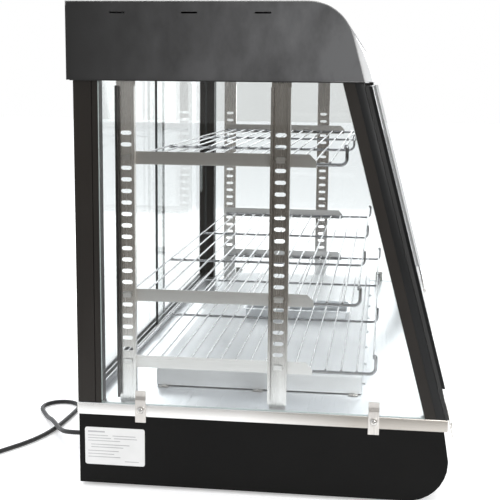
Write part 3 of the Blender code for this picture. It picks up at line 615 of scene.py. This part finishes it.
def make_plug():
    """A ribbed rubber plug with two round metal pins."""
    profile = [(0, 0.062), (0.0160, 0.062), (0.0165, 0.0610), (0.0165, 0.0440)]
    for i in range(4):
        at = 0.0425 - 0.0034 * i
        radius = 0.0163 - 0.0004 * i
        profile += [(radius, at), (radius, at - 0.0018), (radius - 0.0008, at - 0.0021)]
        profile += [(radius - 0.0008, at - 0.0030)]
    profile += [(0.0148, 0.0290), (0.0110, 0.0220), (0.0080, 0.0180), (0.0062, 0.0100)]
    profile += [(0.0054, 0.0030), (0.0050, 0.0010), (0, 0.0010)]
    shape = lathe_shape(profile, 40)
    for offset in (-0.0095, 0.0095):
        pin = [(0, 0.0805), (0.0012, 0.0805), (0.0021, 0.0792), (0.0024, 0.0770)]
        pin += [(0.0024, 0.0600), (0, 0.0600)]
        add_shape(shape, lathe_shape(pin, 16), Matrix.Translation((0, offset, 0)))
    moved(shape, stand(*PLUG_AT, (1, 0, 0)))
    plug = mesh_piece("mains_plug", shape, PLASTIC, BODY, ("plug",), 35)
    plug.data.materials.append(BOLT)
    for face in plug.data.polygons:
        if face.center.x > PLUG_AT[0] + 0.0625:
            face.material_index = 1
    return plug


# ---------------------------------------------------------------- stage

def make_world():
    """White as seen directly. In what the case mirrors, it is bright above and behind, dim in front."""
    world = bpy.data.worlds.new("studio")
    bpy.context.scene.world = world
    world.use_nodes = True
    tree = world.node_tree
    new, link = tree.nodes.new, tree.links.new
    background = tree.nodes["Background"]
    place = new("ShaderNodeTexCoord").outputs["Generated"]
    split = new("ShaderNodeSeparateXYZ")
    link(place, split.inputs[0])
    ramp = new("ShaderNodeMapRange")
    ramp.interpolation_type = "SMOOTHSTEP"
    turned = new("ShaderNodeMath")
    turned.operation = "MULTIPLY_ADD"
    turned.inputs[1].default_value = 0.9
    link(split.outputs["Y"], turned.inputs[0])
    link(split.outputs["X"], turned.inputs[2])
    link(turned.outputs[0], ramp.inputs["Value"])
    for name, value in (("From Min", -1.05), ("From Max", 0.10)):
        ramp.inputs[name].default_value = value
    mix, seen = new("ShaderNodeMix"), new("ShaderNodeMix")
    mix.data_type = seen.data_type = "RGBA"
    mix.inputs["A"].default_value = (0.38, 0.365, 0.35, 1)
    mix.inputs["B"].default_value = (1.15, 1.18, 1.22, 1)
    seen.inputs["B"].default_value = (1, 1, 1, 1)
    link(ramp.outputs[0], mix.inputs["Factor"])
    link(mix.outputs["Result"], seen.inputs["A"])
    link(new("ShaderNodeLightPath").outputs["Is Camera Ray"], seen.inputs["Factor"])
    link(seen.outputs["Result"], background.inputs["Color"])
    background.inputs["Strength"].default_value = 1.0


def area_light(name, at, target, size, power, colour=(1, 1, 1)):
    data = bpy.data.lights.new(name, "AREA")
    data.shape = "RECTANGLE"
    data.size, data.size_y = size
    data.energy = power
    data.color = colour
    light = bpy.data.objects.new(name, data)
    light.location = at
    light.rotation_euler = (Vector(target) - Vector(at)).to_track_quat("-Z", "Y").to_euler()
    light.visible_camera = False
    bpy.context.scene.collection.objects.link(light)


def make_stage():
    make_world()
    floor_mesh = bpy.data.meshes.new("studio_floor")
    shape = bmesh.new()
    bmesh.ops.create_grid(shape, x_segments=2, y_segments=2, size=12)
    shape.to_mesh(floor_mesh)
    shape.free()
    floor = bpy.data.objects.new("studio_floor", floor_mesh)
    bpy.context.scene.collection.objects.link(floor)
    paper = Finish("pale_studio_floor", (0.93, 0.93, 0.93), 0.85)
    paper.shader.inputs["Specular IOR Level"].default_value = 0.1
    near = paper.span(paper.axis("X"), 0.0, 1.0, (-1.45, -0.75))
    seen = paper.math("MAXIMUM", paper.node("LightPath").outputs["Is Camera Ray"], near)
    paper.colour(paper.blend(seen, (0.115, 0.10, 0.085), (0.93, 0.93, 0.93)))
    paper.shader.inputs["Emission Color"].default_value = (1, 1, 1, 1)
    paper.link(paper.span(seen, 0.0, 0.36, (0, 1)), paper.shader.inputs["Emission Strength"])
    floor_mesh.materials.append(paper.material)
    area_light("top_light", (0.4, -0.2, 2.4), (0, 0, 0.2), (2.4, 2.0), 34)
    area_light("back_light", (2.2, 0.3, 1.1), (0, 0, 0.3), (1.8, 1.6), 18)
    area_light("end_light", (-2.0, -0.95, 1.00), (-0.45, -0.1, 0.55), (0.7, 0.8), 22)
    bpy.context.scene.view_settings.view_transform = "Standard"
    bpy.context.scene.cycles.transparent_max_bounces = 24


# ---------------------------------------------------------------- glass

SIDES = {"left": -1, "right": 1}
DECK_TOP = 0.1115
FRAME_TOP = 0.5161
LEAN = 0.272
BAR_Z = 0.512


def leaning(r_at_bar_z, z):
    """r at height z of a line that leans like the front glass and passes r_at_bar_z at BAR_Z."""
    return r_at_bar_z + LEAN * (BAR_Z - z)


def handed(side, inner, outer):
    """The low and high x of a span that is mirrored by side."""
    return sorted((side * inner, side * outer))


def side_view(points):
    """(y, z) points from (r, z) points."""
    return [(depth(r), z) for r, z in points]


def pane_piece(name, shape, normal, edge, body, replaces):
    """A pane whose two large faces are clear and whose edges show their tint."""
    pane = mesh_piece(name, shape, GLASS, body, replaces)
    pane.data.materials.append(edge)
    for face in pane.data.polygons:
        if abs(face.normal.dot(Vector(normal))) < 0.97:
            face.material_index = 1
    return pane


def make_glass():
    low_z = DECK_TOP + GAP
    for hand, side in SIDES.items():
        outline = [
            (0.0383, low_z), (leaning(0.3349, low_z), low_z), (leaning(0.3349, 0.528), 0.528),
            (0.0383, 0.528),
        ]
        low, high = handed(side, 0.4428, 0.4458)
        shape = prism_shape(side_view(outline), "X", low, high, 0.0004, 1)
        pane_piece(f"end_glass_{hand}", shape, (1, 0, 0), GLASS_EDGE, BODY, [f"side_glass_{hand}"])
    across = 0.003 * math.hypot(1, LEAN)
    back, front = 0.3603, 0.3603 + across
    outline = [(leaning(back, low_z), low_z), (leaning(back, 0.5125), 0.5125)]
    outline += [(leaning(front, 0.5125), 0.5125), (leaning(front, low_z), low_z)]
    shape = prism_shape(side_view(outline), "X", -0.446, 0.446, 0.0005, 1)
    normal = Vector((0, -1, LEAN)).normalized()
    pane_piece("sloped_glass", shape, normal, DOOR_EDGE, BODY, ["front_glass"])
    for hand, side in SIDES.items():
        outline = [(leaning(back - 0.0002, z), z) for z in (low_z, 0.5125)]
        outline += [(leaning(back + 0.0044, z), z) for z in (0.5125, low_z)]
        low, high = handed(side, 0.4462, 0.4468)
        shape = prism_shape(side_view(outline), "X", low, high, 0.0002, 1)
        mesh_piece(f"glass_seal_{hand}", shape, SEAL_AND_SHADE, BODY)
        planes = {"left": 0.0135, "right": 0.0215}
        r_low, r_high = planes[hand] - 0.002, planes[hand] + 0.002
        x_low, x_high = sorted((-side * 0.046, side * 0.4227))
        box = box_shape((x_low, depth(r_high), 0.1143), (x_high, depth(r_low), 0.5240), 0.0005)
        door = pane_piece(f"door_pane_{hand}", box, (0, 1, 0), DOOR_EDGE, f"door_{hand}", [f"door_{hand}"])
        pull_x = side * 0.3787
        dish = bmesh.new()
        rim = rounded_rectangle((pull_x, 0.330), 0.022, 0.070, 0.0109, 8)
        inner = rounded_rectangle((pull_x, 0.330), 0.015, 0.063, 0.0074, 8)
        outer_y, inner_y = depth(r_low) + 0.00015, depth(r_low) - 0.0010
        ring = [dish.verts.new((x, outer_y, z)) for x, z in rim]
        well = [dish.verts.new((x, inner_y, z)) for x, z in inner]
        lip = [dish.verts.new((x, outer_y - 0.0004, z)) for x, z in rim]
        bridge(dish, (lip, ring, well))
        dish.faces.new(well)
        mesh_piece(f"finger_pull_{hand}", dish, GLASS_FROST, f"door_{hand}", (), 40)


# ---------------------------------------------------------------- deck, heater and pan

def sheet_box(xs, rs, zs, wall, opens_up, bevel):
    """A folded sheet box, open above or below, with rounded folds."""
    low = (xs[0], depth(rs[1]), zs[0])
    high = (xs[1], depth(rs[0]), zs[1])
    shape = box_shape(low, high)
    lid_z = zs[1] if opens_up else zs[0]
    lid = [f for f in shape.faces if abs(f.calc_center_median().z - lid_z) < 1e-6]
    bmesh.ops.delete(shape, geom=lid, context="FACES_ONLY")
    folds = [e for e in shape.edges if len(e.link_faces) == 2]
    bmesh.ops.bevel(shape, geom=folds, offset=bevel, segments=3, profile=0.5, affect="EDGES")
    bmesh.ops.recalc_face_normals(shape, faces=shape.faces)
    middle = Vector([(a + b) / 2 for a, b in zip(low, high)])
    face = max(shape.faces, key=lambda f: f.calc_area())
    if face.normal.dot(face.calc_center_median() - middle) < 0:
        bmesh.ops.reverse_faces(shape, faces=shape.faces)
    bmesh.ops.solidify(shape, geom=shape.faces, thickness=wall)
    return shape


def screw_shape(radius, height):
    """A pan head screw with a cross recess, standing on z = 0."""
    profile = [(0, height * 0.55), (radius * 0.16, height * 0.55), (radius * 0.30, height)]
    profile += [(radius * 0.60, height * 0.93), (radius * 0.88, height * 0.66), (radius, height * 0.25)]
    profile += [(radius, 0), (0, 0)]

    def cross(angle, reach, level):
        if reach > radius * 0.35:
            return reach
        return reach * (1.45 if round(angle / (math.pi / 12)) % 6 == 0 else 0.7)

    return lathe_shape(profile, 24, cross)


def make_deck():
    """The deck, and on it the heater cover with its tabs, a dark plate painted as the shadow under the
    cover's bottom edge, and the water pan.
    """
    shape = sheet_box((-0.447, 0.447), (0.0066, 0.472), (0.0964, DECK_TOP), 0.0012, False, 0.0012)
    deck = mesh_piece("deck_sheet", shape, STEEL_RIM, BODY, ["deck_tray"], 40)
    deck.data.materials.append(STEEL_X)
    deck.data.materials.append(STEEL_TRIM_SHADED)
    # top faces take the sheet steel, front and rear faces its darker copy as painted shade, the rest the
    # deck-end steel
    for face in deck.data.polygons:
        if abs(face.normal.z) > 0.9:
            face.material_index = 1
        elif abs(face.normal.y) > 0.9:
            face.material_index = 2
    bottom = DECK_TOP + GAP
    top = bottom + 0.024
    cover = sheet_box((-0.360, 0.360), (0.0905, 0.3646), (bottom + 0.0012, top), 0.001, False, 0.0016)
    for x in spread(-0.30, 0.30, 7):
        for r in (0.0905, 0.3646):
            y = depth(r)
            tab = box_shape((x - 0.009, y - 0.004, bottom), (x + 0.009, y + 0.004, bottom + 0.0014))
            add_shape(cover, tab)
    mesh_piece("heater_box", cover, STEEL_HEATER, BODY, ["heater_cover"], 40)
    # painted shadow: a dark plate in the gap under the heater cover's bottom edge
    gap = box_shape((-0.3585, depth(0.3631), bottom), (0.3585, depth(0.0920), bottom + 0.0011))
    mesh_piece("heater_gap_shadow", gap, SEAL_AND_SHADE, BODY)
    tabs = bmesh.new()
    for r in (0.1010, 0.2280, 0.3540):
        for side in (-1, 1):
            x = side * 0.360
            low, high = sorted((x - side * 0.0002, x + side * 0.0080))
            y = depth(r)
            plate = box_shape((low, y - 0.0065, bottom), (high, y + 0.0065, bottom + 0.0011), 0.0004)
            add_shape(tabs, plate)
            add_shape(tabs, screw_shape(0.0028, 0.0016), stand(x + side * 0.0042, r, bottom + 0.0010))
    mesh_piece("heater_tabs", tabs, STEEL_CLIP, BODY, (), 40)
    z = top + GAP + 0.0150
    pan = sheet_box((-0.040, 0.040), (0.168, 0.333), (top + GAP, z), 0.0008, True, 0.004)
    rim = bmesh.new()
    loops = []
    for grow, drop in ((0.0, 0.0008), (0.0004, 0), (0.0042, 0), (0.0050, 0.0010), (0.0042, 0.0014)):
        ring = rounded_rectangle((0, depth(0.2505)), 0.080 + 2 * grow, 0.165 + 2 * grow, 0.004 + grow)
        loops.append([rim.verts.new((x, y, z - drop)) for x, y in ring])
    bridge(rim, loops)
    add_shape(pan, rim)
    mesh_piece("water_tray", pan, STEEL_X, BODY, ["water_pan"], 40)


# ---------------------------------------------------------------- shelves

LEVELS = {"top": (2, 0.3426), "middle": (14, 0.3629), "bottom": (20, 0.3844)}


def add_wire(curve, route, radius, swell=()):
    """One wire of a curve whose bevel depth is a millimetre, with rounded ends."""
    spline = curve.splines.new("POLY")
    start, end = Vector(route[0]), Vector(route[-1])
    first = (Vector(route[1]) - start).normalized()
    last = (Vector(route[-2]) - end).normalized()
    line = [(start, 0.35), (start + first * radius * 0.35, 0.8), (start + first * radius, 1.0)]
    line += [(Vector(p), 1.0) for p in route[1:-1]]
    line += [(end + last * radius, 1.0), (end + last * radius * 0.35, 0.8), (end, 0.35)]
    spline.points.add(len(line) - 1)
    for point, (at, size) in zip(spline.points, line):
        point.co = (*at, 1)
        point.radius = size * radius * 1000
        for x in swell:
            if abs(at.x - x) < 0.0006:
                point.radius *= 1.22


def make_shelf(level, slot, front):
    """Four long wires that turn up at the front, with thinner wires welded across them."""
    long_wire, cross_wire, bend = 0.0020, 0.00125, 0.008
    rear, lip, spacing = 0.0628, 0.0246, 0.0195
    z = 0.4530 - 0.01435 * slot - 0.0086 + GAP + long_wire
    curve = bpy.data.curves.new(f"wire_shelf_{level}", "CURVE")
    curve.dimensions = "3D"
    curve.bevel_depth = 0.001
    curve.bevel_resolution = 3
    curve.use_fill_caps = True
    columns = spread(-0.4270, 0.4270, 4)
    for i, x in enumerate(columns):
        outer = i in (0, 3)
        radius = 0.0022 if outer else 0.0019
        turn = arc((front - bend - long_wire, z + bend), bend, -90, 0, 8)
        route = [(rear, z)] + turn
        if outer:
            route += arc((front - long_wire - 0.0030, z + lip - 0.0044), 0.0030, 0, 100, 6)
        else:
            route += [(front - long_wire, z + lip - long_wire)]
        add_wire(curve, [(x, depth(r), height) for r, height in route], radius)
    cross_z = z + long_wire + cross_wire - 0.0007
    first = rear + 0.004
    count = int((front - 2 * bend - first) / spacing) + 1
    wires = [(first + i * spacing, cross_z) for i in range(count)]
    wires.append((front - 2 * long_wire - cross_wire + 0.0007, z + lip - 2 * long_wire))
    end = columns[-1] + 0.0015
    for r, height in wires:
        route = [(-end, depth(r), height)]
        for x in columns:
            for offset in (-0.0022, -0.0004, 0.0004, 0.0022):
                at = x + offset
                if -end + 0.0006 < at < end - 0.0006:
                    route.append((at, depth(r), height))
        route.append((end, depth(r), height))
        add_wire(curve, route, cross_wire, columns)
    shelf = bpy.data.objects.new(f"wire_shelf_{level}", curve)
    finish_piece(shelf, CHROME, f"shelf_{level}", [f"shelf_{level}"])


# ---------------------------------------------------------------- clips, trim and label

# The radius and height of the screws that hold the clips and the rear sheets
CLIP_SCREW = (0.0042, 0.0022)
REAR_SCREW = (0.0035, 0.0016)


def strip_section(path, thick, side=1):
    """Outline of a bent strip from the line of its inner face."""
    outer = []
    for i, (a, z) in enumerate(path):
        before = Vector(path[max(i - 1, 0)])
        after = Vector(path[min(i + 1, len(path) - 1)])
        along = (after - before).normalized()
        outer.append((a + along.y * thick, z - along.x * thick))
    return [(side * a, z) for a, z in list(path) + outer[::-1]]


def eased(start, end, steps):
    """Points of an S-bend between two (offset, height) points."""
    points = []
    for i in range(steps + 1):
        t = i / steps
        ease = t * t * (3 - 2 * t)
        points.append((start[0] + (end[0] - start[0]) * ease, start[1] + (end[1] - start[1]) * t))
    return points


def make_clips():
    """The spring clips that hold the foot of each end glass and of the sloped glass."""
    width = 0.0138
    for place_name, r in {"rear": 0.0891, "front": 0.3819}.items():
        for hand, side in SIDES.items():
            lip, leg = 0.4461, 0.4473
            path = [(leg, 0.0887)] + eased((leg, 0.1175), (lip, 0.1232), 6) + [(lip, 0.1302)]
            section = strip_section(path, 0.0011, side)
            low = depth(r + width / 2)
            shape = prism_shape(section, "Y", low, low + width, 0.00025, 1)
            turn = stand(side * (leg + 0.0010), r, 0.1046, (side, 0, 0))
            washer = [(0, 0.0005), (0.0052, 0.0005), (0.0056, 0.0003), (0.0056, 0), (0, 0)]
            add_shape(shape, lathe_shape(washer, 24), turn)
            name = f"glass_clip_{place_name}_{hand}"
            node = f"side_clip_{place_name}_{hand}"
            mesh_piece(name, shape, STEEL_CLIP, BODY, [node], 35)
            head = moved(screw_shape(*CLIP_SCREW), Matrix.Translation((side * 0.0004, 0, 0)) @ turn)
            mesh_piece(f"{name}_screw", head, BOLT, BODY, (), 35)
    face = 0.3603 + 0.003 * math.hypot(1, LEAN) + GAP
    path = [(leaning(face, 0.1275), 0.1275), (leaning(face, 0.1160), 0.1160)]
    path += [(leaning(face, 0.1125) + 0.0006, 0.1125), (0.4732, 0.1086), (0.4742, 0.1030), (0.4787, 0.0850)]
    section = strip_section(side_view(path), 0.0013)
    for hand, side in SIDES.items():
        low, high = handed(side, 0.418, 0.4318)
        shape = prism_shape(section, "X", low, high, 0.0002, 1)
        node = f"front_clip_{hand}"
        mesh_piece(f"front_glass_clip_{hand}", shape, STEEL_CLIP, BODY, [node], 35)
        head = moved(screw_shape(*CLIP_SCREW), stand(side * 0.4249, 0.4768, 0.0985, (0, -1, 0.22)))
        mesh_piece(f"front_glass_clip_{hand}_screw", head, BOLT, BODY, (), 35)


def make_folds():
    """The folded edge along each sloped bar, and a dark strip painted as shadow in the gap under each top
    side panel.
    """
    for hand, side in SIDES.items():
        low_z, high_z = DECK_TOP + 0.0008, FRAME_TOP - 0.0005
        outline = [(leaning(0.3492, low_z), low_z), (leaning(0.3492, high_z), high_z)]
        outline += [(leaning(0.3596, high_z), high_z), (leaning(0.3596, low_z), low_z)]
        low, high = handed(side, 0.4459, 0.4465)
        shape = prism_shape(side_view(outline), "X", low, high, 0.0003, 2)
        mesh_piece(f"bar_fold_{hand}", shape, FOLD_ENAMEL, BODY, (), 40)
        # painted shadow: a dark strip in the gap between each top side panel and the posts below it
        low, high = handed(side, 0.4472, 0.4484)
        strip = box_shape((low, depth(0.3600), 0.5157), (high, depth(0.0045), 0.5170))
        mesh_piece(f"panel_shadow_strip_{hand}", strip, SEAL_AND_SHADE, BODY)


def make_label():
    """A white label with plain grey bars in place of any text."""
    x = -0.4461
    centre = (depth(0.0550), 0.0543)
    sheet = bmesh.new()
    rim = rounded_rectangle(centre, 0.078, 0.0495, 0.003)
    back = [sheet.verts.new((x, y, z)) for y, z in rim]
    face = [sheet.verts.new((x - 0.0002, y, z)) for y, z in rim]
    sheet.faces.new(face)
    bridge(sheet, (back, face))
    mesh_piece("blank_label", sheet, LABEL, BODY)
    lines = bmesh.new()
    # the height of each row above the middle, and where its bars start and end
    rows = [
        (0.0190, ((0.004, 0.026),)), (0.0140, ((0.004, 0.030), (0.036, 0.066))),
        (0.0105, ((0.004, 0.034), (0.038, 0.068))), (0.0070, ((0.004, 0.046),)),
        (0.0020, ((0.008, 0.058),)), (-0.0015, ((0.008, 0.050),)), (-0.0065, ((0.004, 0.044),)),
        (-0.0105, ((0.004, 0.038),)), (-0.0145, ((0.004, 0.046),)), (-0.0195, ((0.052, 0.070),)),
    ]
    for height, spans in rows:
        thick = 0.0010 if height > 0.018 else 0.00045
        for start, end in spans:
            y_start, y_end = depth(0.016 + start), depth(0.016 + end)
            z = centre[1] + height
            bar = box_shape((x - 0.00032, y_end, z - thick), (x - 0.00012, y_start, z + thick))
            add_shape(lines, bar)
    mesh_piece("label_rules", lines, GREY_MARK, BODY)


# ---------------------------------------------------------------- controls and feet

REAR_FACE_R = 0.0087
CONTROL_Z = 0.054
KNOB_X = 0.250


def make_controls():
    """The knob and its dial, the two rocker switches, the thermometer and the pilot lamp."""
    y = depth(REAR_FACE_R - GAP)

    def flute(angle, radius, height):
        if height < 0.0026 or radius < 0.0125:
            return radius
        return radius * (1 - 0.035 * (0.5 + 0.5 * math.cos(20 * angle)))

    profile = [
        (0, 0.0037), (0.0100, 0.0037), (0.0128, 0.0039), (0.0142, 0.0034), (0.0150, 0.0028),
        (0.0164, 0.0026), (0.0188, 0.0022), (0.0190, 0.0017), (0.0190, 0.0), (0.0032, 0),
        (0.0032, -0.0080), (0, -0.0080),
    ]
    knob = moved(lathe_shape(profile, 80, flute), stand(KNOB_X, REAR_FACE_R - GAP, CONTROL_Z, (0, 1, 0)))
    mesh_piece("control_knob", knob, PLASTIC, "thermostat_knob", ["thermostat_knob"], 30)
    pointer = box_shape((KNOB_X - 0.0007, y + 0.0034, 0.0625), (KNOB_X + 0.0007, y + 0.0041, 0.0705), 0.0002)
    mesh_piece("control_knob_pointer", pointer, WHITE_MARK, "thermostat_knob")
    ticks = bmesh.new()
    upright = Matrix.Translation((KNOB_X, y - GAP, CONTROL_Z)) @ Matrix.Rotation(-math.pi / 2, 4, "X")
    for i in range(28):
        angle = -(90 + 10 * i) * DEGREE
        reach = 0.0035 if i % 3 == 0 else 0.0020
        tick = box_shape((0.0212, -0.0003, 0), (0.0212 + reach, 0.0003, 0.00025))
        turn = Matrix.Rotation(angle, 4, "Z")
        add_shape(ticks, tick, upright @ turn)
    mesh_piece("dial_ticks", ticks, WHITE_MARK, BODY)
    for name, x in {"power_switch": 0.190, "light_switch": 0.155}.items():
        outline = [(-0.0035, -0.0095), (0.0047, -0.0098), (0.0050, -0.0094), (0.0036, -0.0050)]
        outline += [(0.0024, 0), (0.0036, 0.0050), (0.0050, 0.0094), (0.0047, 0.0098), (-0.0035, 0.0095)]
        at = stand(x, REAR_FACE_R, CONTROL_Z) @ Matrix.Rotation(8 * DEGREE, 4, "X")
        rocker = moved(prism_shape(outline, "X", -0.0065, 0.0065, 0.0005, 2), at)
        mesh_piece(f"{name}_rocker", rocker, PLASTIC, name, [name], 35)
        mark = moved(box_shape((-0.0004, 0.0040, 0.0045), (0.0004, 0.0046, 0.0078)), at)
        mesh_piece(f"{name}_mark", mark, WHITE_MARK, name)
        frame = bmesh.new()
        loops = []
        for (w, h), level in (
            ((0.0150, 0.0224), -0.0012), ((0.0150, 0.0224), 0.0014), ((0.0166, 0.0240), 0.0018),
            ((0.0196, 0.0268), 0.0012), ((0.0200, 0.0272), 0.0003),
        ):
            ring = rounded_rectangle((x, CONTROL_Z), w, h, 0.0012, 3)
            loops.append([frame.verts.new((a, depth(REAR_FACE_R) + level, b)) for a, b in ring])
        bridge(frame, loops)
        mesh_piece(f"{name}_frame", frame, PLASTIC, BODY, (), 30)
    shape = box_shape((0.296, y, 0.040), (0.344, y + 0.0036, 0.068), 0.0012)
    mesh_piece("meter_housing", shape, PLASTIC, BODY, ["thermometer"], 40)
    window = box_shape((0.3005, y + 0.0030, 0.0460), (0.3395, y + 0.0039, 0.0640), 0.0003)
    mesh_piece("meter_window", window, DISPLAY, BODY)
    lens = [(0, 0.0030), (0.0016, 0.0027), (0.0028, 0.0016), (0.0032, 0.0002), (0.0032, 0), (0, 0)]
    shape = moved(lathe_shape(lens, 24), stand(0.218, REAR_FACE_R, CONTROL_Z, (0, 1, 0)))
    mesh_piece("power_indicator", shape, RED_LENS, BODY, (), 40)


def make_fasteners():
    """Screws of the rear panel, the top cover's rear edge and the door tracks."""
    shape = bmesh.new()
    for x in spread(-0.42, 0.42, 5):
        for r, z in ((REAR_FACE_R, 0.0145), (REAR_FACE_R, 0.0850), (0.0, 0.5300)):
            add_shape(shape, screw_shape(*REAR_SCREW), stand(x, r, z, (0, 1, 0)))
    for x in spread(-0.43, 0.43, 4):
        add_shape(shape, screw_shape(REAR_SCREW[0], 0.0014), stand(x, 0.020, 0.610))
    mesh_piece("rear_screws", shape, BOLT, BODY, (), 35)


def make_feet():
    profile = [(0, 0.0047), (0.0150, 0.0047), (0.0150, 0.0040), (0.0142, 0.0006), (0.0136, 0)]
    profile += [(0.0060, 0), (0.0050, 0.0012), (0, 0.0012)]
    for end, r in {"front": 0.415, "rear": 0.050}.items():
        for hand, side in SIDES.items():
            shape = moved(lathe_shape(profile), stand(side * 0.400, r, 0))
            name = f"foot_{end}_{hand}"
            mesh_piece(f"rubber_{name}", shape, FOOT_RUBBER, BODY, [name], 35)


# ---------------------------------------------------------------- finishes of the CAD nodes

def paint(material, *names):
    for name in names:
        mesh = NODES[name].data
        mesh.materials.clear()
        mesh.materials.append(material)


def shade_lips():
    """The rear lips of the rear uprights, which face the posts, are shaded steel."""
    for hand in SIDES:
        mesh = NODES[f"upright_rear_{hand}"].data
        mesh.materials.append(STEEL_DARK)
        for face in mesh.polygons:
            r = REAR_Y - face.center.y
            if r < 0.0615 and abs(face.center.x) > 0.4335:
                face.material_index = 1


def pale_strip_backs():
    """Pale inner edges of the black strips, a choice of look: the photo's cut-out hides the far one."""
    for hand, side in SIDES.items():
        mesh = NODES[f"glass_edge_strip_{hand}"].data
        mesh.materials.append(OPAL)
        for face in mesh.polygons:
            if face.normal.x * side < -0.9:
                face.material_index = 1


def paint_nodes():
    for side in SIDES:
        paint(SIDE_ENAMEL, f"top_side_{side}")
        paint(BASE_ENAMEL, f"base_side_{side}")
        paint(POST_ENAMEL, f"rear_post_{side}", f"front_bar_{side}")
        paint(STRIP_BLACK, f"glass_edge_strip_{side}")
        paint(STEEL_Z, f"upright_front_{side}")
        paint(STEEL_REAR_LIT, f"upright_rear_{side}")
        for level in ("top", "middle", "bottom"):
            paint(STEEL_Y, f"rail_{level}_{side}")
    paint(ENAMEL, "top_cover")
    paint(BASE_ENAMEL, "base_front_fascia", "base_rear_panel", "base_bottom_plate")
    paint(STEEL_X, "ceiling_plate", "heating_element")
    paint(TRACK, "door_track_bottom", "door_track_top")
    paint(OPAL, "header_panel")
    paint(LAMP, "header_lamp")
    shade_lips()
    pale_strip_backs()


make_camera()
make_stage()
paint_nodes()
make_cord()
make_glass()
make_deck()
for shelf_level, (shelf_slot, shelf_front) in LEVELS.items():
    make_shelf(shelf_level, shelf_slot, shelf_front)
make_clips()
make_folds()
make_label()
make_controls()
make_fasteners()
make_feet()

bpy.context.view_layer.update()
